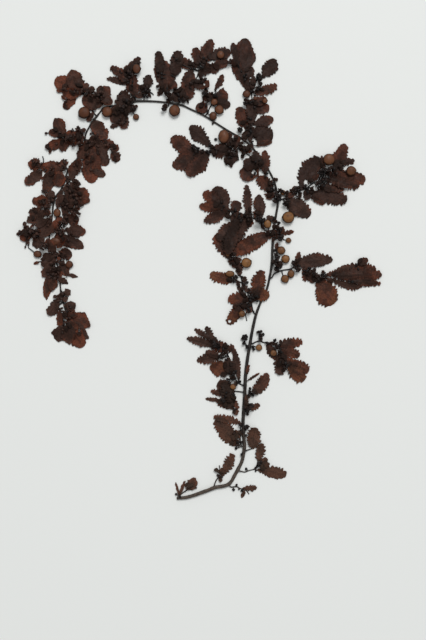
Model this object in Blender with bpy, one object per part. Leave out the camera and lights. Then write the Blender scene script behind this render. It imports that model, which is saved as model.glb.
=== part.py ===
"""Sargassum: one dried, pressed shoot of brown seaweed, laid out flat.

A thin main stem rises from its cut base, winds up the sheet, turns over at the top and comes back
down as a hook.  Leafy side sprays leave it all the way along: toothed blades, round air bladders
(vesicles) and clusters of small bead-like receptacles.

Every piece is laid down in order on top of what is already there: a height field keeps the top of
everything laid so far, and each stem, blade and bladder is draped over it.  Each spray is one node,
its pieces fused into one body; its stem stands a hair clear of the main stem it grows from.

Lengths in the tables are millimetres, seen from above: x to the right, y up the sheet, with the
middle of the whole shoot at x = 0, y = 0 and the surface it lies on at z = 0.
"""
import math
import random

import bmesh
import bpy
import numpy as np
from mathutils import Vector

# ------------------------------------------------------------------ driving dimensions (mm)
MM = 0.001                 # one millimetre in metres
SCALE = 1.0                # size of the whole shoot against the tables
BLADE_THICKNESS = 0.64     # blades are thickened evenly so they stay solid
STEM_RADIUS = 0.42         # side stems
STALK_RADIUS = 0.36        # stalks of bladders and beads
SEAT_GAP = 0.35            # clear space between the main stem and the foot of a spray
LAYER_GAP = 0.30           # clear height between pieces of different sprays
OWN_GAP = 0.12             # clear height between pieces of one spray, away from their roots
SIDE_PAD = 0.40            # clear space beside pieces of different sprays
ROOT_SINK = 0.36           # how deep a root sinks into a blade of its own spray
GROUND = 0.06              # the lowest blades stay this far off the surface
MAX_SLOPE = 0.5            # steepest a draped piece may climb
FULLNESS = 1.14            # width of a blade's outline against its table width
BASE_TAPER = 0.65          # higher draws the base of a blade out finer
TOOTH = 0.07               # how far the teeth wave the outline, as a share of the half width
VESICLE_FLATNESS = 0.60    # bladders are pressed: height against width
BEAD_FLATNESS = 0.80
FINE_BALL = 3.4            # bladders wider than this get a finer ball
FOOT = 0.1                 # corners of the main stem below this are set on the surface
SMALLEST_BLADE = 29.0      # length times width; finer slips are left to the surface detail
SMALLEST_BEAD = 3.6        # finer beads are left to the surface detail
LARGE_BLADE = 190.0        # length times width from which a blade has five stretches
MEDIUM_BLADE = 90.0        # and from which it has four; smaller ones have three
FULLEST = 1.1              # shifts the fullest place of a blade towards its tip
TIP_POWER = 0.45           # lower makes a rounder tip
NARROWEST = 0.5            # half width below which a blade never gets
LEAD_HALF = 0.45           # half width of the strip that joins a blade's base to its stem
LEAD_STEP = 3.0            # length of its stretches
JOIN = 1.0                 # a base nearer than this to its stem starts on it
STEM_STEP = 4.2            # side stems keep their points at least this far apart
SNAP = 0.4                 # a side stem that starts this near another starts on it
SEAT_CLEAR = 1.6           # nothing roots on this first stretch of a spray's main stalk
ROOT_SPOT = 0.6            # radius round a root that has to be covered by one blade
ROOT_LIFT = 0.3            # how far a root may rise over its stem
UNEVEN = 0.05              # random extra height of each spot
SPREAD = 0.3               # clear space round a bladder or bead
SAMPLE = 0.15              # spacing of the points that test and cover a piece
MERGE = 0.01               # corners closer than this become one
CELL = 0.2                 # cell of the height field
FIELD_X = (-128.0, 128.0)
FIELD_Y = (-158.0, 158.0)
SEED = 11

# Main stem from its cut base to its tip: (x, y, radius).
# Sprays in the order they are laid down.  In each one:
#   stems     polylines of (x, y), the first one starting at the main stem
#   leaves    (base x, base y, tip x, tip y, width[, bend]); a bend bows the blade to its left
#   vesicles  (x, y, width[, length along y])
#   beads     (x, y, diameter)
AXIS = [
    (-15.5, -148, 1), (-10, -147.6, 1.1), (-5, -146.3, 1.15), (0, -144.5, 1.2), (5, -142.7, 1.2),
    (9, -141.1, 1.2), (14, -140.3, 1.2), (17.2, -139.3, 1.2), (19.7, -137, 1.15), (21.7, -133.3, 1.15),
    (24, -129.2, 1.15), (26.4, -124.3, 1.15), (27.6, -118.9, 1.15), (28.1, -114.4, 1.15),
    (27.8, -110, 1.1), (27.4, -104, 1.1), (27.3, -97, 1.1), (27.8, -90, 1.2), (28.1, -85, 1.15),
    (28.3, -80, 1.1), (28.5, -74, 1.1), (28.9, -67, 1.1), (29.9, -59, 1.1), (30.9, -52.5, 1.05),
    (31.9, -47, 1), (32.9, -41, 1), (34.3, -34.5, 1), (35.6, -29.5, 0.9), (38.3, -22.3, 0.8),
    (42.3, -14, 0.75), (44.6, -4.5, 0.8), (45.8, 4, 0.85), (46.2, 14, 0.85), (47, 26, 0.8),
    (48.5, 35, 0.75), (49.5, 41.5, 0.75), (49.1, 47, 0.7), (48.4, 52.5, 0.65), (46.8, 57.5, 0.6),
    (43.8, 63.5, 0.6), (38.5, 71, 0.6), (33.5, 78, 0.6), (27.2, 83.6, 0.6), (18.5, 88.6, 0.6),
    (10.1, 93.8, 0.6), (2.5, 98.6, 0.6), (-7.2, 103.3, 0.6), (-12.6, 105.6, 0.6), (-23.3, 107.5, 0.6),
    (-33, 108.2, 0.65), (-41.4, 108.1, 0.65), (-49.5, 106.6, 0.6), (-58, 105, 0.55),
    (-63.2, 103.9, 0.5), (-65, 101.5, 0.5), (-67.2, 98.6, 0.6), (-70.3, 95, 0.6), (-72.2, 91.6, 0.55),
    (-74.4, 87, 0.55), (-75.4, 81.5, 0.55), (-77, 76, 0.55), (-79.8, 71.3, 0.55), (-84.2, 66.6, 0.55),
    (-86.9, 61, 0.55), (-88.2, 56, 0.55), (-90.5, 51, 0.55), (-93.6, 46.8, 0.6), (-95.3, 41.5, 0.6),
    (-96, 36, 0.55), (-96.4, 31.5, 0.55), (-97.2, 26, 0.55), (-98, 20, 0.55), (-97.3, 14.5, 0.55),
    (-95.2, 8, 0.55), (-92.6, 2, 0.55), (-91.3, -5, 0.5), (-90.8, -12, 0.5), (-90, -18, 0.5),
    (-88, -25, 0.5), (-86.3, -32, 0.5), (-85, -38.5, 0.4),
]

SPRAYS = [
    ("main_stem", {
        "stems": [
            [(-14, -146.5), (-9, -142.8), (-6, -141.6)],
            [(28.3, -105), (29.5, -102)],
        ],
        "leaves": [(-14, -146.5, -16.4, -138, 1.6), (-14, -146.5, -10.3, -137, 2),
            (-8.4, -142.8, -4.8, -134.8, 6.2, -0.1), (29.2, -69, 30.9, -62, 2),
            (29.4, -72.6, 37.8, -67.4, 1.6), (29, -92, 29.5, -81, 2.4)],
        "vesicles": [],
        "beads": [(26.2, -119.7, 1.8), (29.5, -102, 3.4), (28.9, -107.5, 1.8), (7.6, 93.8, 1.6)],
    }),
    ("basal_spray_left", {
        "stems": [
            [(8.6, -140), (9.7, -137), (11.3, -134.5), (12.4, -131.5), (11.9, -127)],
        ],
        "leaves": [(13.3, -134.5, 20.9, -119.6, 5.8), (12.2, -133, 14.3, -129, 3)],
        "vesicles": [],
        "beads": [(10.8, -133.4, 1.6)],
    }),
    ("basal_spray_right", {
        "stems": [
            [(19.4, -140.9), (23, -140.7), (25.5, -142), (28, -142.4), (30, -144), (31, -145.6)],
        ],
        "leaves": [(26.6, -141.8, 36.2, -141.3, 3.4), (28.4, -142.8, 26.3, -148, 2.4)],
        "vesicles": [],
        "beads": [(21, -142.6, 2), (23, -139.6, 1.6), (26.3, -143.3, 1.6)],
    }),
    ("basal_spray_upper", {
        "stems": [
            [(24.7, -130.3), (28, -131.3), (31, -130.3), (35, -129.4)],
            [(34, -129.8), (36, -127.2), (36.6, -124)],
        ],
        "leaves": [(37, -124.6, 39.2, -112.5, 5.4), (36, -130, 55, -133.8, 7.2, 0.04),
            (37, -127.3, 42.6, -122.3, 4), (37.5, -127.8, 44.4, -125.6, 3.8)],
        "vesicles": [],
        "beads": [(29.2, -129.3, 1.8)],
    }),
    ("stalked_leaf", {
        "stems": [
            [(29.6, -117.2), (33.2, -116.2)],
        ],
        "leaves": [(33.4, -116.6, 34.8, -102.4, 8.6)],
        "vesicles": [],
        "beads": [],
    }),
    ("lower_left_spray", {
        "stems": [
            [(27, -114.9), (25.6, -113.5), (25.3, -108), (25.6, -102), (26, -99.4)],
        ],
        "leaves": [(24.2, -114.6, 9.5, -96.8, 10.4, 0.01), (26.3, -99.7, 8.2, -95.2, 4.8),
            (26, -104.8, 19.8, -109.8, 5.5)],
        "vesicles": [],
        "beads": [(24.3, -111.5, 1.8), (26.2, -112, 1.8)],
    }),
    ("left_spray", {
        "stems": [
            [(26.3, -79.5), (21, -79.2), (16, -80.8)],
        ],
        "leaves": [(21.5, -80, 10.5, -74, 9), (16, -81.5, 6.3, -78.8, 3.5), (13, -85, 2.8, -83.9, 2.4),
            (20, -80.5, 23, -94.5, 4.2), (21.5, -90.2, 9.8, -84.8, 5.4), (19, -79, 16.6, -90, 8)],
        "vesicles": [(20.7, -76, 4)],
        "beads": [],
    }),
    ("left_fan", {
        "stems": [
            [(27.4, -75.2), (24.5, -74), (22.5, -71.5), (21, -67), (19, -60), (17, -55), (13, -51)],
            [(22.3, -71.5), (18.3, -71.2)],
        ],
        "leaves": [(24.5, -73, 19.1, -48.4, 3.9, -0.05), (12, -50.1, -9.3, -44.9, 5.1),
            (20.5, -52.5, 6, -48.5, 7.2), (9, -49, 3.2, -37.2, 4.2), (8, -46.5, -4.2, -38.8, 3.4),
            (13.5, -56.6, -2.8, -59.4, 5.4), (14, -57.5, 3, -53.2, 4.6), (21, -66.2, 5.6, -63.2, 9.2),
            (21, -70, 16.5, -57.5, 7)],
        "vesicles": [],
        "beads": [(17, -71.3, 1.8), (18.3, -73.4, 1.8)],
    }),
    ("right_leaf_low", {
        "stems": [
            [(29.2, -89.6), (31, -89.6)],
        ],
        "leaves": [(30.5, -90, 38, -87.6, 4, -0.06)],
        "vesicles": [],
        "beads": [(31, -90, 3), (32, -87.7, 3)],
    }),
    ("right_leaf_high", {
        "stems": [
            [(29, -84), (31.2, -82.2), (31.6, -77.5)],
        ],
        "leaves": [(32.8, -80.6, 42.6, -67.2, 7.6, -0.1)],
        "vesicles": [],
        "beads": [(31, -81.2, 2), (31.5, -79.2, 2.2), (31.6, -77.2, 2)],
    }),
    ("receptacles_left", {
        "stems": [
            [(29.9, -50.7), (29.3, -49.2), (28.2, -47.6), (28.4, -44.6)],
        ],
        "leaves": [],
        "vesicles": [],
        "beads": [(29.6, -50.4, 2.4), (27.6, -48.1, 2.2), (27, -45.2, 2.4), (29, -43.6, 2.6),
            (27.5, -43.5, 2), (28.8, -45.3, 2.2)],
    }),
    ("receptacles_right", {
        "stems": [
            [(32.6, -50.4), (34, -50.1), (36, -50.5)],
        ],
        "leaves": [],
        "vesicles": [(37.4, -50.9, 4.2)],
        "beads": [(33.6, -50.4, 2), (34, -52.1, 2)],
    }),
    ("right_spray", {
        "stems": [
            [(33.2, -48.3), (35.5, -47.2), (38.2, -46.7), (41, -47.7), (45, -48.4), (49.5, -49.2),
             (51, -53), (51.3, -58), (55, -61)],
            [(38, -46.8), (38.4, -44), (37.9, -41)],
        ],
        "leaves": [(42.5, -48.3, 48.5, -58.5, 5), (49.5, -49.7, 65.6, -47.2, 6, 0.02),
            (50, -51, 63.8, -56.3, 7), (51, -54, 50.7, -68.7, 6.8), (54, -60, 69.8, -66, 8.8),
            (55.3, -61, 66.8, -72.2, 8.8), (50.5, -52, 56.5, -62.5, 6)],
        "vesicles": [(46.8, -54.3, 4.4)],
        "beads": [(37, -40.9, 2.2), (38.7, -40.5, 2), (40.1, -42.3, 2), (38.3, -43, 3),
            (38.4, -45.4, 2.8), (47.5, -46.4, 2.4)],
    }),
    ("right_branch", {
        "stems": [
            [(45.7, -5.9), (47, -3.6), (50, -1.9), (53, -0.9), (57, -0.3), (61, 1.2), (66, 1.8),
             (70, -0.6), (73, -4.3), (77, -5.5), (81, -4.8), (86, -4.2)],
            [(49.5, -2), (48.6, 0), (50.3, 2.6)],
            [(52, -1.4), (52.8, -3.8)],
            [(58.5, 0), (58.3, -1.4)],
        ],
        "leaves": [(61.5, 2, 63.7, 11, 3.2), (60.2, 2.8, 85.2, 5.9, 8.8, 0.03),
            (66.5, 2, 67.5, -8.4, 3.6), (70.3, 0, 72, -9.4, 5), (75, -7, 85.8, -22.7, 13.9),
            (84, -4, 113, 0, 8.5, 0.04), (84, -4.4, 116.8, -3.8, 9), (84, -6.2, 104, -11.5, 4.6, -0.08),
            (97, -8, 116.2, -9.6, 4.8), (78.2, -4.5, 78, -9, 3.6), (101, 2, 107.6, 6.6, 4.4)],
        "vesicles": [(54.5, 6.2, 5.5), (54.2, -6.6, 5.2), (58.1, -3.3, 4.6, 5.3)],
        "beads": [(62.1, -1.4, 2.2), (50.4, 2.6, 3.2), (48.4, -0.4, 2.6), (50.8, 0.6, 2.2),
            (78.2, -4.6, 3.4), (59.6, 4.2, 2.2), (72.6, -3.4, 2.4)],
    }),
    ("left_branch", {
        "stems": [
            [(33.9, -28.3), (33, -24.5), (32.2, -20.5), (30.4, -16.6), (29.9, -13.2), (27.3, -10.2),
             (26, -6), (24.8, -1), (23.2, 3), (20.6, 5.6), (18.6, 8)],
            [(26.3, -8.6), (20.5, -8.6)],
            [(27.4, -10), (29.9, -9)],
            [(31.4, -26.4), (29, -29), (29.6, -33.6)],
            [(33.6, -28), (34.5, -27.4)],
        ],
        "leaves": [(35, -19, 38.9, -0.8, 8), (30.5, -14.5, 44.2, -18, 8), (31.5, -20, 17.4, -19.3, 7.6),
            (31, -23, 20.5, -25.5, 6), (26, -23, 17.6, -35.9, 6.8), (32, -23.5, 30.2, -28.8, 3.6),
            (28.2, -18, 23.6, -11, 2.6), (20.5, -8.4, 6, -2.8, 7.2, 0.03), (19.5, 6, 9, 22, 8),
            (25, -5, 24.5, 5, 4)],
        "vesicles": [(26.4, -29.2, 4.4), (18.7, -3.3, 6, 4), (29.3, 3.7, 6.8), (22, 13, 2.8),
            (17.2, 9, 2.6)],
        "beads": [(21.2, -6.6, 3), (22.4, -5, 2.4), (29.8, -9, 2), (31, -27.5, 2.4)],
    }),
    ("axis_shoot", {
        "stems": [
            [(47.3, 3.2), (48.2, 6), (48.6, 10.5), (48.8, 15)],
        ],
        "leaves": [(48.6, 11.5, 49.2, 17, 2.2)],
        "vesicles": [(51.7, 11.8, 5.3)],
        "beads": [(48.4, 5.2, 2.8), (49.8, 7.3, 2.4), (48.2, 9, 2.6), (48, 2.6, 2)],
    }),
    ("axis_knot", {
        "stems": [
            [(48.2, 19), (48.8, 22), (49.6, 26), (49.6, 30), (46, 32), (43, 33.8)],
            [(49.3, 22.4), (52.5, 22.6)],
            [(49.5, 20.5), (52.2, 19.2), (54.8, 18.5)],
        ],
        "leaves": [(48.2, 22.3, 20.5, 9.2, 9.8, -0.055), (52, 22.5, 60.2, 24.3, 2.8),
            (50, 20, 53.2, 27.3, 3.4), (49.6, 30, 42.3, 33.9, 3.4), (49.6, 19, 47, 25, 4)],
        "vesicles": [(56.4, 18.3, 3.6)],
        "beads": [(50.8, 20, 3.2), (51.4, 25.4, 2.6)],
    }),
    ("left_upper_fan", {
        "stems": [
            [(45.2, 24.6), (42, 24.6), (39.6, 26.8), (37.6, 30.5), (33, 33), (28, 34), (23, 36),
             (16, 38), (9, 41)],
            [(44, 24.6), (43.6, 26.4)],
        ],
        "leaves": [(17, 37.5, 9.1, 52.9, 10.4), (14.5, 39, 1.8, 49.8, 8), (20, 37.5, -1.2, 40.5, 7),
            (21, 36.5, 24, 43.8, 7), (17, 36.2, 1.8, 30.6, 6.6), (30, 33.5, 18.6, 32.5, 6.6),
            (31.5, 34.5, 31.3, 26.8, 4.2), (32, 33, 13.8, 12.6, 9.4), (27.4, 32.4, 10.2, 18.8, 8.6),
            (23, 33, 17, 9, 8), (30.8, 34, 29.4, 54.4, 5), (38.3, 31.5, 37.6, 48, 6.8),
            (38, 29.5, 35.5, 38, 5)],
        "vesicles": [(42.9, 28.8, 5, 5.8)],
        "beads": [(38.2, 30.8, 3.6), (36, 31.5, 3)],
    }),
    ("right_fan", {
        "stems": [
            [(51, 44.2), (53, 45.2), (56, 46), (60, 48.5), (64, 50.5), (68, 52), (72, 55), (75.5, 56.6),
             (77.6, 60), (80, 62.5), (86, 62)],
            [(57, 46.4), (59, 41), (61.8, 36.2), (59.6, 33)],
            [(79.5, 62.3), (80.2, 67)],
        ],
        "leaves": [(55, 45.5, 70.8, 34.6, 10.2, -0.03), (62, 48.5, 54.2, 46.8, 3.5),
            (65, 51, 76.3, 72, 10.8, 0.07), (68.5, 50.5, 94.4, 44.3, 9.8, -0.02),
            (76, 53, 92.5, 51.2, 5.4), (67.5, 51.8, 69.4, 44.6, 5), (62, 50, 59.4, 53, 4),
            (63, 50, 64.6, 47.3, 2.4), (86.7, 63, 92.8, 80.9, 8), (85.5, 61.5, 90, 70, 7),
            (88.5, 67.5, 99.3, 70.2, 4.2), (80.5, 61.5, 106.4, 58, 9.6, -0.04),
            (82, 58.5, 101.8, 52.3, 6.6)],
        "vesicles": [(82.4, 70.3, 7.6), (96.8, 63, 6.4), (56.3, 33, 7.8)],
        "beads": [(54.2, 41.8, 3), (55.8, 42.8, 2.6), (77, 55.6, 3.2), (78.6, 53.8, 3), (79.2, 57, 3),
            (77.2, 62, 3.2), (79.2, 63.4, 3.2), (82, 63.3, 2.6)],
    }),
    ("axis_fan", {
        "stems": [
            [(48, 44), (46.6, 49), (45, 54), (42.6, 59), (39.5, 64), (35, 71)],
            [(48.6, 44.5), (50.5, 47), (52.9, 49)],
        ],
        "leaves": [(46, 51.5, 43.3, 44.6, 5.2), (46, 50, 37.2, 59.5, 8), (41.5, 60.5, 41.2, 76.6, 5.6),
            (36.8, 69.5, 28.8, 56.4, 10.6, -0.06), (35.5, 73, 28.6, 64, 7.6), (39, 64, 34.5, 76, 6)],
        "vesicles": [(53, 49, 3.2, 3.6)],
        "beads": [(48, 43.6, 3.6), (50, 45.6, 3.4), (48.4, 47.6, 3.4), (50.8, 50.2, 2.8),
            (27.9, 75.7, 1.6)],
    }),
    ("middle_left_spray", {
        "stems": [
            [(31.8, 78), (27, 78), (22, 77), (15, 76), (9, 76.5), (4, 76), (-2, 75.8), (-6, 77)],
            [(15, 76), (14.6, 81)],
            [(22.8, 77), (24.4, 70)],
        ],
        "leaves": [(6.8, 78.2, -6.9, 92.4, 8.4), (-4.5, 75.4, -18.4, 85.5, 9.6, 0.06),
            (4.5, 75.4, -18.6, 66.4, 10.5), (5.5, 75, -8.6, 59.8, 9.6), (18.5, 76.2, 19.6, 67.2, 8.4),
            (24, 78, 22.3, 86.3, 4.4), (20, 77, 6.5, 76, 9)],
        "vesicles": [(14.7, 85, 7.2, 9)],
        "beads": [(-4.6, 78.4, 2.2), (-1.8, 77, 2.2), (1, 75.8, 2.2), (9.5, 83.5, 2)],
    }),
    ("upper_right_branch", {
        "stems": [
            [(33.6, 79.4), (32, 84), (31.5, 90), (32, 97), (33, 104), (33, 110), (31.5, 116), (28, 122),
             (25, 128)],
            [(32.5, 113), (35, 119), (36.5, 123.5), (39.5, 124.2)],
        ],
        "leaves": [(32.4, 87.3, 46.7, 86, 12.2), (30.8, 90, 24.3, 104.6, 7.4, 0.06),
            (33, 93, 46.8, 97.1, 6.6), (33, 104, 44.2, 103, 7.2), (33, 114, 48.9, 119.2, 6, -0.1),
            (39, 123, 47.2, 135.7, 8.6, -0.06), (29.6, 121.5, 33, 130.5, 5.6),
            (27, 126, 29, 148.9, 12.4), (24, 132, 20.4, 145.8, 4.8), (31.5, 114.5, 21, 134.5, 6.8),
            (33, 80, 31, 93, 6), (32, 92, 33, 109.5, 7), (33.5, 106, 42.5, 109.8, 5.4)],
        "vesicles": [(41.2, 108, 3.6), (34.9, 109.6, 2.8), (29.4, 112.6, 5)],
        "beads": [(25.2, 89.4, 3.4), (37, 124.2, 3), (38.2, 121.3, 2.4), (28.7, 106.3, 2.8),
            (36.4, 116, 3)],
    }),
    ("small_tuft", {
        "stems": [
            [(3.8, 100.3), (5.6, 104), (8, 108), (9.5, 113), (9.6, 117)],
        ],
        "leaves": [(8.9, 115.6, 14.1, 125.5, 3.9, -0.04), (9.5, 111.5, 0.8, 110.3, 5.4),
            (8.4, 112, 17.6, 110.2, 9.6), (9, 108, 18.9, 105, 6.2), (4.6, 101.8, -3, 105.6, 7.4)],
        "vesicles": [(8.5, 107.3, 4.6), (11.8, 102.4, 6), (7.8, 98.4, 5, 5.6)],
        "beads": [(2.6, 112.2, 2.4)],
    }),
    ("top_spray", {
        "stems": [
            [(-14, 107.9), (-12, 112), (-7, 118), (-2.5, 124), (0.5, 130), (4, 134), (10, 135),
             (18, 134)],
            [(-12.4, 111.3), (-13.6, 109.4), (-15.6, 105), (-16.8, 103)],
        ],
        "leaves": [(-5.6, 129.4, -7, 109.3, 9.4, -0.1), (-6, 119.2, 5.6, 119.2, 7.4),
            (-1, 130.5, -17, 134.3, 6.4), (-1.5, 130.5, -3.4, 142.8, 6.2), (1, 131, 6.8, 148.4, 7.4),
            (3, 136.1, 19.2, 139.9, 7.8), (0, 128.5, 12, 130.2, 6.4), (18.8, 133.6, 8, 130.7, 6.2),
            (-12.5, 109, -15, 116.4, 8.6), (18, 134.3, 24, 132, 5), (-2.5, 125, 6.5, 129, 5)],
        "vesicles": [(12.7, 137.7, 5.2), (-13.6, 132.3, 3.2), (-17, 101.8, 7.4)],
        "beads": [(-11.4, 108, 3)],
    }),
    ("top_left_spray", {
        "stems": [
            [(-19.8, 109), (-21, 112), (-22.5, 118), (-21.5, 124), (-20, 128)],
            [(-21, 112), (-20.6, 110.2), (-20.8, 105.6), (-24, 103)],
        ],
        "leaves": [(-21.5, 113.5, -25.2, 134.4, 12.4), (-25.5, 125, -27.8, 140.4, 6.2),
            (-18.6, 124, -15.6, 141, 8.4, -0.08), (-22, 117, -15.4, 119.4, 6.6),
            (-24, 118, -27.5, 111.6, 3.4)],
        "vesicles": [],
        "beads": [(-24.2, 102.6, 2.8)],
    }),
    ("arch_fan", {
        "stems": [
            [(-42.6, 109.9), (-43.5, 114), (-45, 119), (-46.5, 124), (-47, 128)],
        ],
        "leaves": [(-42.2, 111, -46.4, 127.5, 8), (-45.5, 119.8, -61, 122.9, 4),
            (-47, 124.8, -58.6, 129.7, 5.6), (-46.4, 121, -53.6, 125.2, 5), (-47, 126, -48.2, 131.4, 4),
            (-44.6, 125, -40.2, 137, 5.4), (-45.4, 126.5, -45.2, 133.3, 3.6)],
        "vesicles": [(-41.4, 128.4, 5.4, 6.4)],
        "beads": [(-40, 132.8, 1.8)],
    }),
    ("arch_spray", {
        "stems": [
            [(-36.6, 110.2), (-36.2, 113), (-34.8, 117)],
            [(-35.8, 114.2), (-32.5, 114), (-30.6, 112.3)],
        ],
        "leaves": [(-35, 115, -33.8, 125.4, 5.6), (-36, 112, -37.2, 119, 6.4),
            (-36.4, 111.4, -42.6, 112, 3.8)],
        "vesicles": [],
        "beads": [],
    }),
    ("arch_lower_spray", {
        "stems": [
            [(-48.4, 105.3), (-50, 102), (-51.5, 97), (-52, 93)],
            [(-46, 102), (-44, 101), (-42.8, 99.6)],
        ],
        "leaves": [(-45, 106.3, -53, 113.4, 8.3), (-47, 107, -55.8, 107.8, 3.8),
            (-50, 104, -41.8, 103, 5.8), (-51, 104, -49.6, 90.2, 7.2), (-51, 103, -57.8, 94.6, 7.6),
            (-52.3, 93.6, -58.6, 91.3, 2.8), (-49.5, 104, -57.6, 101.2, 6)],
        "vesicles": [(-41.9, 97.9, 4), (-60.4, 101, 7)],
        "beads": [],
    }),
    ("far_arch_spray", {
        "stems": [
            [(-68.4, 99.8), (-71, 103.4), (-73, 108), (-76, 112.5), (-84, 114.5), (-89, 115.5)],
            [(-73, 109), (-66, 111.5)],
        ],
        "leaves": [(-60.8, 107.5, -77, 108.4, 9.8), (-64.3, 110.5, -59, 117.6, 6.4),
            (-64.3, 111, -65.2, 118, 5), (-72, 111.5, -70, 118, 4.2), (-75, 114, -94.6, 121.8, 10.2),
            (-78.8, 113.5, -83.8, 128.7, 11.4), (-75, 114, -73.4, 120, 4),
            (-87, 116, -93.4, 114.9, 2.8), (-81.2, 113, -88.4, 103.3, 6.2, 0.03),
            (-76, 113, -89.3, 113, 7), (-66, 110, -56.6, 107, 6.2)],
        "vesicles": [(-75.2, 100.4, 7.8)],
        "beads": [],
    }),
    ("hook_fan", {
        "stems": [
            [(-68.2, 96.2), (-68, 90), (-69, 84), (-71, 78), (-72, 72), (-71.5, 66)],
            [(-72.5, 66), (-78, 64.5)],
            [(-68.8, 85), (-64.5, 83), (-60.5, 80.6), (-57.8, 77)],
        ],
        "leaves": [(-68.2, 96, -60.3, 84, 9.4, -0.1), (-70, 86, -59.8, 67.4, 11, -0.08),
            (-72.2, 82, -71.2, 55.3, 11.4, 0.03), (-70.4, 63.5, -61.6, 60.6, 4.8),
            (-73, 83, -79.2, 70.6, 7, 0.04), (-62.5, 81.2, -55.8, 80.2, 5),
            (-59, 78.6, -52.8, 77.3, 5.2), (-57.6, 76.2, -53.4, 69.3, 6.4)],
        "vesicles": [],
        "beads": [],
    }),
    ("hook_spray", {
        "stems": [
            [(-76.4, 84.4), (-80, 84.3), (-86, 84), (-92, 84.6)],
            [(-92, 85), (-96, 88), (-100.2, 87.3)],
            [(-81, 87), (-83.2, 90.8)],
        ],
        "leaves": [(-87.6, 85.8, -94.4, 97.4, 8.2), (-87, 86, -98.2, 88.8, 5.2),
            (-86, 84, -100, 77.6, 5.8), (-85, 83, -91, 76.6, 5.8), (-75.4, 85, -88, 84.2, 9.2),
            (-76, 84.6, -80.4, 88.8, 5), (-76.4, 84, -79.6, 79.8, 4.4)],
        "vesicles": [],
        "beads": [(-79, 90.1, 3), (-82, 79.8, 2.4), (-76.6, 88.4, 2.6), (-100, 87.4, 1.8)],
    }),
    ("outer_spray", {
        "stems": [
            [(-86.2, 64.6), (-91, 65.4), (-97, 66.4), (-103, 66.2), (-107, 64)],
            [(-102.3, 67), (-101.7, 70), (-102.3, 72.7)],
        ],
        "leaves": [(-88, 64.5, -103.5, 66, 7.6), (-87.8, 65, -90, 70.5, 5.4),
            (-102, 66, -111.7, 68.4, 7.4), (-102.5, 63.6, -114, 55.6, 7.6, 0.06),
            (-96.8, 64, -101.6, 48.6, 7.6, 0.05), (-90.2, 64, -92.4, 52.8, 7.4)],
        "vesicles": [],
        "beads": [(-107.8, 69, 2.4)],
    }),
    ("inner_fan", {
        "stems": [
            [(-87, 56.6), (-85, 53), (-83, 49), (-84, 44)],
        ],
        "leaves": [(-85.6, 57, -77.5, 70, 7.2), (-84.4, 56.2, -71.6, 43.4, 10.6, -0.1),
            (-86, 54, -84.2, 36.8, 7.6), (-79.4, 46, -75.8, 40.6, 2.6), (-82, 46, -78.6, 37.8, 3),
            (-86.6, 55.6, -87.8, 42, 4.4), (-87, 45, -88.5, 33, 5)],
        "vesicles": [],
        "beads": [],
    }),
    ("outer_pair", {
        "stems": [
            [(-96.4, 42.6), (-99, 42), (-101, 40)],
            [(-96.4, 43), (-96.8, 48)],
        ],
        "leaves": [(-95.8, 44.2, -109.1, 43.6, 6.8, 0.03), (-97, 44, -96.4, 50.6, 5),
            (-99, 39.8, -111.6, 36.4, 5.4, 0.05), (-100, 39, -112.7, 30.4, 7.2, 0.06),
            (-99.8, 40, -98.8, 33.8, 4)],
        "vesicles": [],
        "beads": [],
    }),
    ("inner_spray", {
        "stems": [
            [(-96.1, 26.4), (-93, 25.5), (-90, 24.8), (-86, 25.4)],
            [(-93.5, 26), (-94, 31), (-93, 33.5)],
            [(-91.5, 24), (-89, 21)],
            [(-92, 25), (-89, 30), (-86, 32)],
        ],
        "leaves": [(-93, 25, -94, 31.5, 5.4), (-89.5, 29.5, -78.6, 32.4, 9),
            (-88, 25.4, -74.3, 24, 7.4), (-91, 22, -75.8, 13.2, 7), (-91, 26, -91.5, 18.5, 6),
            (-90.5, 25, -90.6, 13.5, 6)],
        "vesicles": [(-92.8, 36, 4.8, 5.6), (-93.6, 17.4, 7, 5.4)],
        "beads": [(-83, 36.2, 2), (-81, 34.8, 2.2), (-88, 30.2, 2.6)],
    }),
    ("outer_blade", {
        "stems": [
            [(-97.8, 31.2), (-101, 29), (-105, 25), (-108, 22), (-111.8, 21), (-113.4, 14)],
            [(-111.2, 19), (-111.5, 13.6)],
            [(-105, 27), (-107.8, 28.6)],
        ],
        "leaves": [(-97.6, 33, -101.6, 20.4, 9.6), (-98.4, 32, -106.8, 27.2, 5),
            (-107, 22.5, -117, 19.6, 6), (-109.6, 22.8, -114.4, 27, 5), (-105.4, 21, -106.4, 12.8, 5.4)],
        "vesicles": [(-105.4, 9.4, 5.4, 4.6)],
        "beads": [(-116.5, 23.8, 2), (-107.8, 28.4, 1.8), (-113.4, 14, 1.4)],
    }),
    ("hook_tuft", {
        "stems": [
            [(-93.8, 8.4), (-91, 9), (-88, 9.5)],
            [(-91.6, 9), (-90, 4.5), (-87.5, 3)],
            [(-91, 9), (-92.7, 8), (-95.8, 3), (-96, -4), (-97, -12)],
            [(-95.8, 4.6), (-102.6, 4.6), (-105.8, 4.5)],
            [(-91, 9), (-92.6, 10.2), (-97.6, 12), (-100.2, 14)],
        ],
        "leaves": [(-92, 9, -83.3, 10, 7.4), (-94, 9.5, -101.4, 2.4, 9), (-91, 5, -86, -4.6, 5.6),
            (-96, 3, -102.4, -5.4, 6.6), (-96, 0, -90, -5.6, 7), (-88, -3.3, -79.4, -5.2, 2.4),
            (-97.6, -4, -99.8, -20.2, 5.2, -0.04), (-96, -5, -95.6, -14.2, 6),
            (-93, -5, -85.8, -9.8, 3.6), (-94, 9.5, -99, 19.4, 5.4)],
        "vesicles": [(-84.9, 2.7, 4.8)],
        "beads": [(-101.5, 16.2, 2.2), (-100.5, 14.2, 2.6), (-102.2, 13.7, 2)],
    }),
    ("end_tuft", {
        "stems": [
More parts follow.
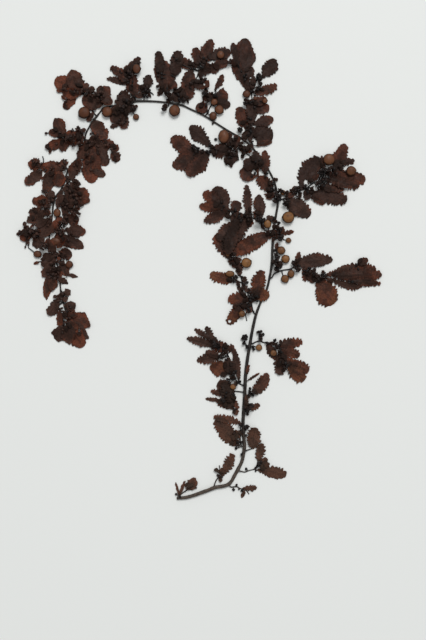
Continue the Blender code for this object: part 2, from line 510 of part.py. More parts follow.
            [(-89.7, -14.6), (-88, -20), (-86.5, -25), (-85.5, -29), (-84.4, -33)],
            [(-88, -20), (-89, -21.5), (-91.8, -24), (-91, -29), (-89.2, -33)],
        ],
        "leaves": [(-89.2, -17, -84.2, -13.8, 4.4), (-91.5, -18.6, -98, -30.3, 6.8),
            (-88.2, -23, -80.9, -25, 6.8), (-91, -26, -91.3, -38, 4.6), (-87, -28.5, -71.4, -37.4, 9.6),
            (-86, -33, -72.4, -45.2, 6.8), (-88.2, -36, -92.2, -47.4, 9, -0.05),
            (-86, -32, -76.6, -50.9, 9.8), (-86.4, -34.5, -84.6, -49, 8.6), (-90, -15, -91.6, -20, 4)],
        "vesicles": [],
        "beads": [],
    }),
]

# ------------------------------------------------------------------ colours
BLADE_BROWN = (0.105, 0.043, 0.030)
STEM_BROWN = (0.050, 0.033, 0.027)
ROUGHNESS = 0.62
SHADE_STEP = 0.16          # how much the brown varies from spray to spray


# ------------------------------------------------------------------ height field
class HeightField:
    """Top of everything laid down so far, in millimetres, on square cells."""

    def __init__(self):
        self.columns = int((FIELD_X[1] - FIELD_X[0]) / CELL)
        self.rows = int((FIELD_Y[1] - FIELD_Y[0]) / CELL)
        self.top = np.zeros((self.columns, self.rows))

    def cells(self, points):
        column = np.clip(((points[:, 0] - FIELD_X[0]) / CELL).astype(int), 0, self.columns - 1)
        row = np.clip(((points[:, 1] - FIELD_Y[0]) / CELL).astype(int), 0, self.rows - 1)
        return column, row

    def highest(self, points):
        column, row = self.cells(points)
        return float(self.top[column, row].max())

    def everywhere(self, points):
        """Height that is reached at every one of the points."""
        column, row = self.cells(points)
        return float(self.top[column, row].min())

    def cover(self, points, height):
        column, row = self.cells(points)
        np.maximum.at(self.top, (column, row), height)

    def merge(self, other):
        self.top = np.maximum(self.top, other.top)


class Bed:
    """What a spray has to clear: the stems of all the others and every piece laid before it."""

    def __init__(self):
        self.laid = HeightField()
        self.stems = HeightField()
        self.owner = np.full(self.stems.top.shape, -1)

    def add_stems(self, field, number):
        higher = field.top > self.stems.top
        self.owner[higher] = number
        self.stems.merge(field)

    def highest(self, points, number):
        column, row = self.stems.cells(points)
        others = np.where(self.owner[column, row] != number, self.stems.top[column, row], 0.0)
        return float(max(self.laid.top[column, row].max(), others.max()))


def segment_points(a, b, half_a, half_b, pad, ahead=0.0):
    """Points over the strip from a to b, and how far along it each one lies."""
    ax, ay = a
    bx, by = b
    length = math.hypot(bx - ax, by - ay)
    ux, uy = (bx - ax) / max(length, 1e-6), (by - ay) / max(length, 1e-6)
    along_count = max(2, int((length + ahead) / SAMPLE) + 2)
    along = np.linspace(0.0, length + ahead, along_count)
    share = np.clip(along / max(length, 1e-6), 0.0, 1.0)
    half = half_a + (half_b - half_a) * share + pad
    across_count = max(3, int(2 * half.max() / SAMPLE) + 2)
    across = np.linspace(-1.0, 1.0, across_count)
    x = ax + ux * along[:, None] - uy * half[:, None] * across[None, :]
    y = ay + uy * along[:, None] + ux * half[:, None] * across[None, :]
    points = np.stack([x.ravel(), y.ravel()], axis=1)
    return points, np.repeat(share, across_count)


def disc_points(x, y, radius_x, radius_y):
    count = max(4, int(2 * max(radius_x, radius_y) / SAMPLE))
    gx, gy = np.meshgrid(np.linspace(-1, 1, count), np.linspace(-1, 1, count))
    inside = gx ** 2 + gy ** 2 <= 1.0
    offset = np.stack([gx[inside] * radius_x, gy[inside] * radius_y], axis=1)
    return offset + np.array([x, y]), (gx ** 2 + gy ** 2)[inside]


# ------------------------------------------------------------------ mesh helpers
def link_object(name, mesh, collection):
    thing = bpy.data.objects.new(name, mesh)
    collection.objects.link(thing)
    return thing


def tube(name, points, radii, sides_step, collection):
    """Solid tube along 3-D points; sides_step 0 gives four sides, 1 gives six."""
    curve = bpy.data.curves.new(name, "CURVE")
    curve.dimensions = "3D"
    curve.twist_mode = "Z_UP"
    curve.bevel_depth = 1.0 * MM
    curve.bevel_resolution = sides_step
    curve.use_fill_caps = True
    spline = curve.splines.new("POLY")
    spline.points.add(len(points) - 1)
    for slot, point, radius in zip(spline.points, points, radii):
        slot.co = (point[0] * MM, point[1] * MM, point[2] * MM, 1.0)
        slot.radius = radius
    carrier = bpy.data.objects.new(name + "_path", curve)
    bpy.context.scene.collection.objects.link(carrier)
    bpy.context.view_layer.update()
    mesh = bpy.data.meshes.new_from_object(carrier)
    bpy.data.objects.remove(carrier)
    bpy.data.curves.remove(curve)
    body = bmesh.new()
    body.from_mesh(mesh)
    bmesh.ops.remove_doubles(body, verts=body.verts, dist=1e-7)
    bmesh.ops.recalc_face_normals(body, faces=body.faces)
    body.to_mesh(mesh)
    body.free()
    return link_object(name, mesh, collection)


def ball(name, centre, size, fine, collection):
    """Closed ball squashed to size (x, y, z) about its centre."""
    body = bmesh.new()
    if fine:
        bmesh.ops.create_uvsphere(body, u_segments=6, v_segments=4, radius=0.5)
    else:
        bmesh.ops.create_icosphere(body, subdivisions=1, radius=0.5)
    bmesh.ops.scale(body, verts=body.verts, vec=Vector(size) * MM)
    bmesh.ops.translate(body, verts=body.verts, vec=Vector(centre) * MM)
    mesh = bpy.data.meshes.new(name)
    body.to_mesh(mesh)
    body.free()
    return link_object(name, mesh, collection)


def blade(name, stations, collection):
    """Solid strip; stations are (left point, right point, height of the middle)."""
    half = 0.5 * BLADE_THICKNESS
    vertices = []
    for left, right, height in stations:
        vertices.append((left[0] * MM, left[1] * MM, (height + half) * MM))
        vertices.append((right[0] * MM, right[1] * MM, (height + half) * MM))
        vertices.append((left[0] * MM, left[1] * MM, (height - half) * MM))
        vertices.append((right[0] * MM, right[1] * MM, (height - half) * MM))
    faces = [(0, 2, 3, 1)]
    for index in range(len(stations) - 1):
        a = 4 * index
        b = a + 4
        faces += [(a, a + 1, b + 1), (a, b + 1, b)]
        faces += [(a + 2, b + 3, a + 3), (a + 2, b + 2, b + 3)]
        faces += [(a, b, b + 2), (a, b + 2, a + 2)]
        faces += [(a + 1, b + 3, b + 1), (a + 1, a + 3, b + 3)]
    last = 4 * (len(stations) - 1)
    faces.append((last, last + 1, last + 3, last + 2))
    mesh = bpy.data.meshes.new(name)
    mesh.from_pydata(vertices, [], faces)
    body = bmesh.new()
    body.from_mesh(mesh)
    bmesh.ops.recalc_face_normals(body, faces=body.faces)
    body.to_mesh(mesh)
    body.free()
    return link_object(name, mesh, collection)


def component_volume(faces):
    total = 0.0
    for face in faces:
        corners = [vertex.co for vertex in face.verts]
        for index in range(1, len(corners) - 1):
            total += corners[0].dot(corners[index].cross(corners[index + 1])) / 6.0
    return total


def close_short_edges(body):
    """Merge the ends of edges too short to matter, where the surface stays closed."""
    while True:
        short = [edge for edge in body.edges if edge.calc_length() < MERGE * MM]
        for edge in sorted(short, key=lambda edge: edge.calc_length()):
            a, b = edge.verts
            around_a = {link.other_vert(a) for link in a.link_edges}
            around_b = {link.other_vert(b) for link in b.link_edges}
            if len(around_a & around_b) == 2:
                bmesh.ops.pointmerge(body, verts=[a, b], merge_co=0.5 * (a.co + b.co))
                break
        else:
            return


def keep_outer_skin(mesh):
    """Drop sealed hollows and loose crumbs, so one closed body is left."""
    body = bmesh.new()
    body.from_mesh(mesh)
    unseen = set(body.faces)
    groups = []
    while unseen:
        start = unseen.pop()
        group = [start]
        stack = [start]
        while stack:
            face = stack.pop()
            for edge in face.edges:
                for other in edge.link_faces:
                    if other in unseen:
                        unseen.remove(other)
                        group.append(other)
                        stack.append(other)
        groups.append(group)
    groups.sort(key=component_volume, reverse=True)
    crumbs = [face for group in groups[1:] for face in group]
    bmesh.ops.delete(body, geom=crumbs, context="FACES")
    bmesh.ops.triangulate(body, faces=body.faces)
    close_short_edges(body)
    body.to_mesh(mesh)
    body.free()


# ------------------------------------------------------------------ laying pieces down
def half_width(share, width):
    """Outline of a blade: rounded base and tip, fullest a little past the middle."""
    rise = math.sin(math.pi * share ** FULLEST)
    swell = max(0.0, rise) ** (TIP_POWER if share > 0.45 else BASE_TAPER)
    return max(0.5 * width * FULLNESS * swell, NARROWEST)


def nearest_on(paths, x, y):
    """Closest point (x, y, z) on the spray's own stems."""
    best = None
    for path in paths:
        for (ax, ay, az), (bx, by, bz) in zip(path, path[1:]):
            span = (bx - ax) ** 2 + (by - ay) ** 2
            share = ((x - ax) * (bx - ax) + (y - ay) * (by - ay)) / max(span, 1e-9)
            share = min(1.0, max(0.0, share))
            px, py, pz = ax + share * (bx - ax), ay + share * (by - ay), az + share * (bz - az)
            distance = math.hypot(x - px, y - py)
            if best is None or distance < best[0]:
                best = (distance, px, py, pz)
    return best


class Layer:
    """Lays the pieces of one spray over everything already down."""

    def __init__(self, bed, number, collection, label, draw):
        self.bed = bed
        self.number = number
        self.own = HeightField()
        self.blades = HeightField()
        self.collection = collection
        self.label = label
        self.draw = draw
        self.paths = []
        self.count = 0

    def name(self, kind):
        self.count += 1
        return "%s_%s_%d" % (self.label, kind, self.count)

    def floor_under(self, points, with_own=True):
        others = self.bed.highest(points, self.number)
        level = others + LAYER_GAP if others > 0.0 else GROUND
        if with_own:
            own = self.own.highest(points)
            if own > 0.0:
                level = max(level, own + OWN_GAP)
        return level

    def drape(self, spots, halves, thickness, root, pads=None, with_own=True):
        """Middle heights for a chain of spots, clear of all that lies below."""
        count = len(spots)
        floors = []
        for index in range(count - 1):
            pad = SIDE_PAD if pads is None else pads[index]
            ahead = SIDE_PAD if index == count - 2 else 0.0
            points, _ = segment_points(spots[index], spots[index + 1], halves[index], halves[index + 1],
                                       pad, ahead)
            floors.append(self.floor_under(points, with_own))
        lift = [floors[0]] + [max(a, b) for a, b in zip(floors, floors[1:])] + [floors[-1]]
        lift = [value + 0.5 * thickness + self.draw.uniform(0.0, UNEVEN) for value in lift]
        steps = [max(0.3, math.dist(a, b)) for a, b in zip(spots, spots[1:])]
        for index in range(1, count):
            lift[index] = max(lift[index], lift[index - 1] - MAX_SLOPE * steps[index - 1])
        for index in range(count - 2, 0, -1):
            lift[index] = max(lift[index], lift[index + 1] - MAX_SLOPE * steps[index])
        if root is not None:
            points, _ = segment_points(spots[0], spots[1], halves[0], halves[0], SIDE_PAD)
            near = self.floor_under(points[: max(8, len(points) // 3)], False) + 0.5 * thickness
            lift[0] = max(root, min(near, root + ROOT_LIFT))
        return lift

    def root_height(self, x, y, stem_height):
        """A root sinks into the stem, or into the top blade that already hides the stem there."""
        points, _ = disc_points(x, y, ROOT_SPOT, ROOT_SPOT)
        hidden = self.blades.everywhere(points)
        if hidden > stem_height + STEM_RADIUS:
            return hidden - ROOT_SINK + 0.5 * BLADE_THICKNESS
        return stem_height

    def cover_strip(self, spots, halves, heights, thickness, field=None):
        for index in range(len(spots) - 1):
            points, share = segment_points(spots[index], spots[index + 1], halves[index],
                                           halves[index + 1], 0.0)
            level = heights[index] + (heights[index + 1] - heights[index]) * share
            (field or self.own).cover(points, level + 0.5 * thickness)

    def stem(self, path, radius, seated):
        """A side stem; later ones of a spray start from the ones before."""
        spots = [tuple(point) for point in path]
        root = None
        if seated:
            spots[0] = seat_point(spots[0], radius)
        elif self.paths:
            _, px, py, pz = nearest_on(self.paths, *spots[0])
            if math.dist(spots[0], (px, py)) > SNAP:
                spots.insert(0, (px, py))
            else:
                spots[0] = (px, py)
            root = pz
        if seated:
            spots = thin_out(spots, STEM_STEP)
        elif len(spots) > 4:
            spots = spots[:2] + thin_out(spots[2:], STEM_STEP)
        halves = [radius] * len(spots)
        pads = [0.0 if seated and index == 0 else SIDE_PAD for index in range(len(spots) - 1)]
        heights = self.drape(spots, halves, 2 * radius, root, pads)
        chain = [(x, y, z) for (x, y), z in zip(spots, heights)]
        tube(self.name("stem"), chain, [radius] * len(chain), 0, self.collection)
        self.cover_strip(spots, halves, heights, 2 * radius)
        self.paths.append(trim_start(chain, SEAT_CLEAR) if seated else chain)

    def leaf(self, row):
        base_x, base_y, tip_x, tip_y, width = row[:5]
        bend = row[5] if len(row) > 5 else 0.0
        along = (tip_x - base_x, tip_y - base_y)
        length = math.hypot(*along)
        side = (-along[1] / length, along[0] / length)
        area = length * width
        steps = 5 if area > LARGE_BLADE else 4 if area > MEDIUM_BLADE else 3
        phase = self.draw.choice((-1.0, 1.0))
        lefts, rights, spots, halves = [], [], [], []
        for index in range(steps + 1):
            even = index / steps
            share = 0.45 * even + 0.55 * (0.5 - 0.5 * math.cos(math.pi * even))
            bow = bend * length * 4 * share * (1 - share)
            x = base_x + along[0] * share + side[0] * bow
            y = base_y + along[1] * share + side[1] * bow
            turn = bend * length * 4 * (1 - 2 * share)
            heading = (along[0] + side[0] * turn, along[1] + side[1] * turn)
            size = math.hypot(*heading)
            out = (-heading[1] / size, heading[0] / size)
            half = half_width(share, width)
            wave = TOOTH * phase * (1 if index % 2 else -1) if 0 < index < steps else 0.0
            left = half * (1 + wave)
            right = half * (1 - wave)
            lefts.append((x + out[0] * left, y + out[1] * left))
            rights.append((x - out[0] * right, y - out[1] * right))
            spots.append((x, y))
            halves.append(max(left, right))
        gap, px, py, pz = nearest_on(self.paths, base_x, base_y)
        hidden = self.blades.everywhere(disc_points(base_x, base_y, ROOT_SPOT, ROOT_SPOT)[0])
        if gap > JOIN and hidden > pz + STEM_RADIUS:
            gap, px, py = 0.0, base_x, base_y
        lead = []
        if gap > JOIN:
            pieces = max(1, round(gap / LEAD_STEP))
            for index in range(pieces):
                share = index / pieces
                lead.append((px + (base_x - px) * share, py + (base_y - py) * share))
        else:
            shift = (px - spots[0][0], py - spots[0][1])
            spots[0] = (px, py)
            lefts[0] = (lefts[0][0] + shift[0], lefts[0][1] + shift[1])
            rights[0] = (rights[0][0] + shift[0], rights[0][1] + shift[1])
        if lead:
            toward = (base_x - px, base_y - py)
            out = (-toward[1] / gap * LEAD_HALF, toward[0] / gap * LEAD_HALF)
            lefts = [(x + out[0], y + out[1]) for x, y in lead] + lefts
            rights = [(x - out[0], y - out[1]) for x, y in lead] + rights
            spots = lead + spots
            halves = [LEAD_HALF] * len(lead) + halves
        root = self.root_height(px, py, pz)
        heights = self.drape(spots, halves, BLADE_THICKNESS, root)
        blade(self.name("blade"), list(zip(lefts, rights, heights)), self.collection)
        self.cover_strip(spots, halves, heights, BLADE_THICKNESS)
        self.cover_strip(spots, halves, heights, BLADE_THICKNESS, self.blades)

    def round_piece(self, x, y, size_x, size_y, flatness, fine):
        """A bladder or bead on its stalk, pressed down onto what lies below."""
        height = flatness * min(size_x, size_y)
        points, _ = disc_points(x, y, 0.5 * size_x + SPREAD, 0.5 * size_y + SPREAD)
        level = self.floor_under(points, False)
        centre = level + 0.5 * height
        gap, px, py, pz = nearest_on(self.paths, x, y)
        hidden = self.blades.everywhere(disc_points(x, y, ROOT_SPOT, ROOT_SPOT)[0])
        if hidden > 0.0:
            centre = max(centre, hidden - ROOT_SINK + 0.5 * height)
            if centre == hidden - ROOT_SINK + 0.5 * height:
                gap, pz = 0.0, centre
        ball(self.name("ball"), (x, y, centre), (size_x, size_y, height), fine, self.collection)
        if gap > 0.5 * min(size_x, size_y) - 0.2 or abs(pz - centre) > 0.45 * height:
            reach = max(gap, 0.02)
            ux, uy = (x - px) / reach, (y - py) / reach
            if gap < 0.3:
                ux, uy = 1.0, 0.0
                x += 0.3
            spots = [(px, py), (x, y)]
            halves = [STALK_RADIUS] * 2
            points, _ = segment_points(*spots, *halves, 0.2)
            floor = self.floor_under(points, False) + STALK_RADIUS
            heights = [max(pz, min(floor, pz + ROOT_LIFT)), max(centre, floor)]
            chain = [(a, b, z) for (a, b), z in zip(spots, heights)]
            tube(self.name("stalk"), chain, halves, 0, self.collection)
            self.cover_strip(spots, halves, heights, 2 * STALK_RADIUS)
        points, spread = disc_points(x, y, 0.5 * size_x, 0.5 * size_y)
        self.own.cover(points, centre + 0.5 * height * np.sqrt(np.clip(1 - 0.75 * spread, 0, 1)))


def thin_out(spots, shortest):
    """The same line without inner points that crowd the one before."""
    result = [spots[0]]
    for spot in spots[1:-1]:
        if math.dist(result[-1], spot) >= shortest and math.dist(spot, spots[-1]) >= 0.6 * shortest:
            result.append(spot)
    return result + [spots[-1]]


def trim_start(chain, cut):
    """The same chain without its first stretch, where nothing else may root."""
    a, b = chain[0], chain[1]
    step = math.dist(a[:2], b[:2])
    share = min(cut / step, 0.7)
    return [tuple(p + (q - p) * share for p, q in zip(a, b))] + chain[1:]


def seat_point(spot, radius):
    """Foot of a spray, moved to stand just clear of the main stem."""
    best = None
    for (ax, ay, ar), (bx, by, br) in zip(AXIS, AXIS[1:]):
        span = (bx - ax) ** 2 + (by - ay) ** 2
        share = ((spot[0] - ax) * (bx - ax) + (spot[1] - ay) * (by - ay)) / span
        share = min(1.0, max(0.0, share))
        px, py = ax + share * (bx - ax), ay + share * (by - ay)
        distance = math.dist(spot, (px, py))
        if best is None or distance < best[0]:
            best = (distance, px, py, ar + share * (br - ar))
    distance, px, py, stem_radius = best
    reach = stem_radius + SEAT_GAP + 0.25 * radius
    return (px + (spot[0] - px) / distance * reach, py + (spot[1] - py) / distance * reach)


# ------------------------------------------------------------------ nodes
def fuse(pieces, name, collection):
    """One closed body out of all the pieces of a spray."""
    base = pieces.objects[0]
    pieces.objects.unlink(base)
    collection.objects.link(base)
    if len(pieces.objects):
        join = base.modifiers.new("join", "BOOLEAN")
        join.operand_type = "COLLECTION"
        join.collection = pieces
        join.operation = "UNION"
        join.solver = "MANIFOLD"
        bpy.context.view_layer.update()
        graph = bpy.context.evaluated_depsgraph_get()
        mesh = bpy.data.meshes.new_from_object(base.evaluated_get(graph))
        base.modifiers.clear()
        base.data = mesh
    for thing in list(pieces.objects):
        bpy.data.objects.remove(thing)
    bpy.data.collections.remove(pieces)
    keep_outer_skin(base.data)
    base.name = name
    base.data.name = name
    return base


def paint(thing, colour):
    material = bpy.data.materials.new(thing.name)
    material.use_nodes = True
    shader = material.node_tree.nodes["Principled BSDF"]
    shader.inputs["Base Color"].default_value = (*colour, 1.0)
    shader.inputs["Roughness"].default_value = ROUGHNESS
    material.diffuse_color = (*colour, 1.0)
    thing.data.materials.clear()
    thing.data.materials.append(material)


def main_stem(layer):
    """Six-sided stem lying with one flat side on the surface."""
    apothem = math.cos(math.pi / 6)
    chain = [(x, y, radius * apothem) for x, y, radius in AXIS]
    radii = [radius for _, _, radius in AXIS]
    thing = tube(layer.name("stem"), chain, radii, 1, layer.collection)
    for vertex in thing.data.vertices:
        if vertex.co.z < FOOT * MM:
            vertex.co.z = 0.0
    for (ax, ay, ar), (bx, by, br) in zip(AXIS, AXIS[1:]):
        points, share = segment_points((ax, ay), (bx, by), ar, br, 0.0)
        layer.own.cover(points, 2 * apothem * (ar + (br - ar) * share))
    layer.paths.append(chain)


def build():
    for thing in list(bpy.data.objects):
        bpy.data.objects.remove(thing)
    draw = random.Random(SEED)
    collection = bpy.data.collections.new("sargassum_seaweed")
    bpy.context.scene.collection.children.link(collection)
    bed = Bed()
    layers = []
    for number, (name, spray) in enumerate(SPRAYS):
        pieces = bpy.data.collections.new(name + "_pieces")
        bpy.context.scene.collection.children.link(pieces)
        layer = Layer(bed, number, pieces, name, draw)
        layers.append(layer)
        if name == "main_stem":
            main_stem(layer)
        for index, path in enumerate(spray["stems"]):
            layer.stem(path, STEM_RADIUS, index == 0 and name != "main_stem")
        bed.add_stems(layer.own, number)
    for number, (name, spray) in enumerate(SPRAYS):
        layer = layers[number]
        pieces = layer.collection
        for row in spray["leaves"]:
            if math.dist(row[:2], row[2:4]) * row[4] >= SMALLEST_BLADE:
                layer.leaf(row)
        for row in spray["vesicles"]:
            size_y = row[3] if len(row) > 3 else row[2]
            layer.round_piece(row[0], row[1], row[2], size_y, VESICLE_FLATNESS, row[2] > FINE_BALL)
        for x, y, size in spray["beads"]:
            if size >= SMALLEST_BEAD or not spray["leaves"]:
                layer.round_piece(x, y, size, size, BEAD_FLATNESS, False)
        bed.laid.merge(layer.own)
        thing = fuse(pieces, name, collection)
        shade = 1.0 + SHADE_STEP * math.sin(2.4 * number)
        colour = STEM_BROWN if name == "main_stem" else tuple(value * shade for value in BLADE_BROWN)
        paint(thing, colour)
        if SCALE != 1.0:
            thing.data.transform(thing.matrix_world.to_4x4() * SCALE)


build()
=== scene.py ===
"""The look of the sargassum shoot: one dried, pressed seaweed on a plain pale floor.

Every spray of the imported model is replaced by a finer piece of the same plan.  The blades, bladders
and beads are laid down in the same order as in the model, draped one over another on a height map,
so that each rests on what lies below it.  Blades get toothed, rippled margins and a midrib.  How
many layers lie on top of each other is kept on the mesh: dried blades are translucent, so a single
one looks red-brown and a stack of them nearly black.

Lengths are in millimetres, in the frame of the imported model.
"""

import math
import random

import bpy
import numpy as np
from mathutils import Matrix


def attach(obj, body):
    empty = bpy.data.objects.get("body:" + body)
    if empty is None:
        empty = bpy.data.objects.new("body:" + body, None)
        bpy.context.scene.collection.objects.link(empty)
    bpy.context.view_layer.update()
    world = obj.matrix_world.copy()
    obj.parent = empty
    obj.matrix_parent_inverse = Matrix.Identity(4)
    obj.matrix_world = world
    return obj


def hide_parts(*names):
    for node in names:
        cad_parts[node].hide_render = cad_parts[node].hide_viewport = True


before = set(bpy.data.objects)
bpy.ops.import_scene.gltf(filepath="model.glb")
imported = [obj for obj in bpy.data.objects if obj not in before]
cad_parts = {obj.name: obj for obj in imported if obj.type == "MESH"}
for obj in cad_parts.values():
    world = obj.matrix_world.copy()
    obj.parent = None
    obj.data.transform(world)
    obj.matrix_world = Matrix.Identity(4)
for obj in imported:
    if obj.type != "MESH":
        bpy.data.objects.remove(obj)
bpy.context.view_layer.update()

# ------------------------------------------------------------------ sizes (mm)
MM = 0.001
SEED = 31
CELL = 0.25                # cell of the height map
MAP_X = (-128.0, 128.0)    # what it covers
MAP_Y = (-158.0, 158.0)
LAYER_BLUR = 1.2           # how far the count of layers is blurred, in cells
FLOOR_GAP = 0.02           # everything stays this far above the floor

BLADE_THICKNESS = 0.42     # at the midrib
MARGIN_THICKNESS = 0.20
RIB_HEIGHT = 0.20
RIB_WIDTH = 0.09           # against half the blade's width
RIB_END = 0.93             # the midrib has faded at this share of the length
FULLNESS = 1.06            # width of a blade's outline against its table width
LEAST_HALF = 0.14          # half width at the very ends of a blade
LAYER_GAP = 0.05           # clear height between a blade and what it lies on
ROW_STEP = 0.36            # length of a blade's mesh rows
FEWEST_ROWS = 9
CROWDING = 0.3             # how much of their spacing crowds the rows at a blade's ends
SWAY = 0.02                # how far the spine sways, against its length
TOOTH_PITCH = 2.05         # along the margin
TOOTH_DEPTH = 1.7
TOOTH_SIZES = (0.2, 1.2)   # against that depth
TOOTH_RISE = 0.66          # share of a tooth before its point
TOOTH_FALL = 0.34          # and after it
TOOTH_FOOT = 0.16          # share of the length over which they grow from the foot
TOOTH_TIP = 0.05           # and over which they fade at the tip
RIPPLE = 0.45              # height of the ripples along a margin
RIPPLE_LENGTH = 6.5
SWELL = 0.22               # height of the slow swells across a blade
CURL = 1.3                 # how far a curled margin or tip lifts
CURLED_MARGINS = 0.35      # share of blades with such a margin
CURLED_TIPS = 0.4          # and with such a tip
WIDE_BLADE = 6.0           # narrower ones ripple and curl less
DRAPE_REACH = 1.25         # a blade starts to climb this far before what it lies on
DRAPE_SOFTNESS = 1.25      # and how soft the climb is
FOOT_LENGTH = 2.2          # over which a blade comes down to its stem
FOOT_CLIMB = 1.6           # one that starts higher above its stem rests on what it lies on
PETIOLE_FROM = 0.5         # a blade this far from its stem has a petiole
MIDRIB = 5                 # a column of the mesh next to the midrib
# columns of a blade's mesh, from its right margin to its left one
COLUMNS = np.array([-1.0, -0.93, -0.75, -0.5, -0.22, -0.05, 0.05, 0.22, 0.5, 0.75, 0.93, 1.0])

STEM_RADIUS = 0.40
PETIOLE_RADIUS = 0.34
STALK_RADIUS = 0.30
LONGEST_STALK = 5.0        # a receptacle further from every stem sits on what it lies on
STEM_STEP = 0.8            # length of a stem's mesh rings
STALK_STEP = 0.6
PETIOLE_STEP = 0.7
STALK_SIDES = 8
STEM_SIDES = 10
TRUNK_SIDES = 14
STALK_RIDGES = 0.05        # height of the ridges against the radius
STEM_RIDGES = 0.10
TRUNK_RIDGES = 0.045
STALK_TONE = 0.5           # how pale it is, from 0 to 1
STEM_TONE = 0.4
TRUNK_TONE = 0.75
END_ROUNDING = 0.3         # how far a stem's end stands out, against its radius
TRUNK_WIDTH = 0.97         # the main stem's radius against that in the table
KNEE = 0.16                # how much the main stem swells where a spray leaves it
KNEE_REACH = 1.6
SEAT = 0.6                 # a side stem's first point is dropped if it lies this near its parent
BLEND_IN = 2.5             # over which a side stem comes down to its parent

BASE_POWER = 0.62          # how a blade narrows to its foot
TIP_FROM = 0.35            # share of the length where the tip's power takes over from the foot's
TIP_BLEND = 0.3            # and over which it does
HOOK_SIDE = -58.0          # blades left of this belong to the hooked top
HOOK_BLEND = 12.0          # either way, over which they turn thinner
HOOK_SHEER = 0.35          # they are thinner, so a stack of them is less dark
ARCH_FROM = 60.0           # and those above this to the arch
ROUND_TIPS = (0.42, 0.46, 0.52)
# How blades are cut: sizes of their teeth, powers of the tip (a low one is round), place of the
# fullest width, waviness.
HOOK_STYLE = ((0.15, 0.60), (0.42, 0.50, 0.62, 0.80), (0.9, 1.35), 1.7)
ARCH_STYLE = ((0.60, 1.10), ROUND_TIPS, (0.95, 1.3), 1.35)
LOW_STYLE = ((0.85, 1.45), ROUND_TIPS, (0.95, 1.3), 1.0)
MARGIN_WAVES = ((1.0, (0.7, 1.4)), (0.5, (2.0, 3.0)), (0.35, (4.0, 7.0)))    # height, number
MARGIN_WAVE = 0.045        # height of these waves against the blade's width

# Lumps on a ball: their height against its radius, how many waves add up, and how sharp they are.
BLADDER_LUMPS = ((0.022, 5, 4.0), (0.012, 4, 11.0))
BEAD_LUMPS = ((0.09, 5, 5.0), (0.06, 5, 12.0))
NIPPLE = 0.10              # height of the one at a bladder's far end against its radius
DENT = 0.07                # depth of the dent on top of it, at most
SINK = 0.12                # how far a ball sinks into what it lies on, against its height

SMALL_LEAF = 15            # a leaf of less length times width has no receptacles at its foot
AXIL_CROWD = (0, 1, 2, 2, 3)   # how many sit there
AXIL_REACH = (0.4, 2.3)    # how far from the foot
AXIL_BEAD = (1.1, 2.1)     # and their size
SMALL_BEAD = 2.2           # beads smaller than this have a coarser mesh
BUNCH_FROM = 2.2           # and wider ones are bunches of receptacles
BUNCH_CORE = 0.86          # width of the bead in the middle of a bunch against the whole
BUNCH_SIZE = (4, 7)        # how many sit round it
BUNCH_REACH = (0.28, 0.40)     # how far out, against the whole
BUNCH_WIDTH = (0.34, 0.48)     # how wide, against the whole
BUNCH_STRETCH = (1.0, 1.3)     # how long, against their width

BLADDER_CLEAR = 0.5        # crumpled little blades keep this far from a bladder
COVERED = ("axis_fan",)    # sprays whose bladders they do hide
CRUMPLED_LAYERS = 2        # a crumpled little blade is as dark as this many flat ones
CRUMPLED_SHARE = 0.55      # share of blades in a tangle; the rest are receptacles
CRUMPLED_LENGTH = (2.4, 4.8)
CRUMPLED_WIDTH = (1.5, 2.9)
CRUMPLED_BEND = (-0.15, 0.15)
TANGLE_BEAD = (0.9, 1.7)
TANGLE_STRETCH = (1.0, 2.0)
TANGLE_SPREAD = 0.9        # how far their headings stray from straight out, in radians

# ------------------------------------------------------------------ plan of the shoot (mm)
KINDS = ("stem", "leaf", "slip", "bladder", "tangle", "bead")


def read_rows(words):
    return [tuple(float(number) for number in word.split(",")) for word in words.split()]


def read_plan(text):
    """(name, rows of each kind) for every spray; its stems are a list of lists of rows."""
    sprays = []
    for line in text.strip().split("\n"):
        kind, _, words = line.partition(" ")
        if kind not in KINDS:
            sprays.append((kind, {key: [] for key in KINDS}))
        elif kind == "stem":
            sprays[-1][1][kind].append(read_rows(words))
        else:
            sprays[-1][1][kind] += read_rows(words)
    return sprays


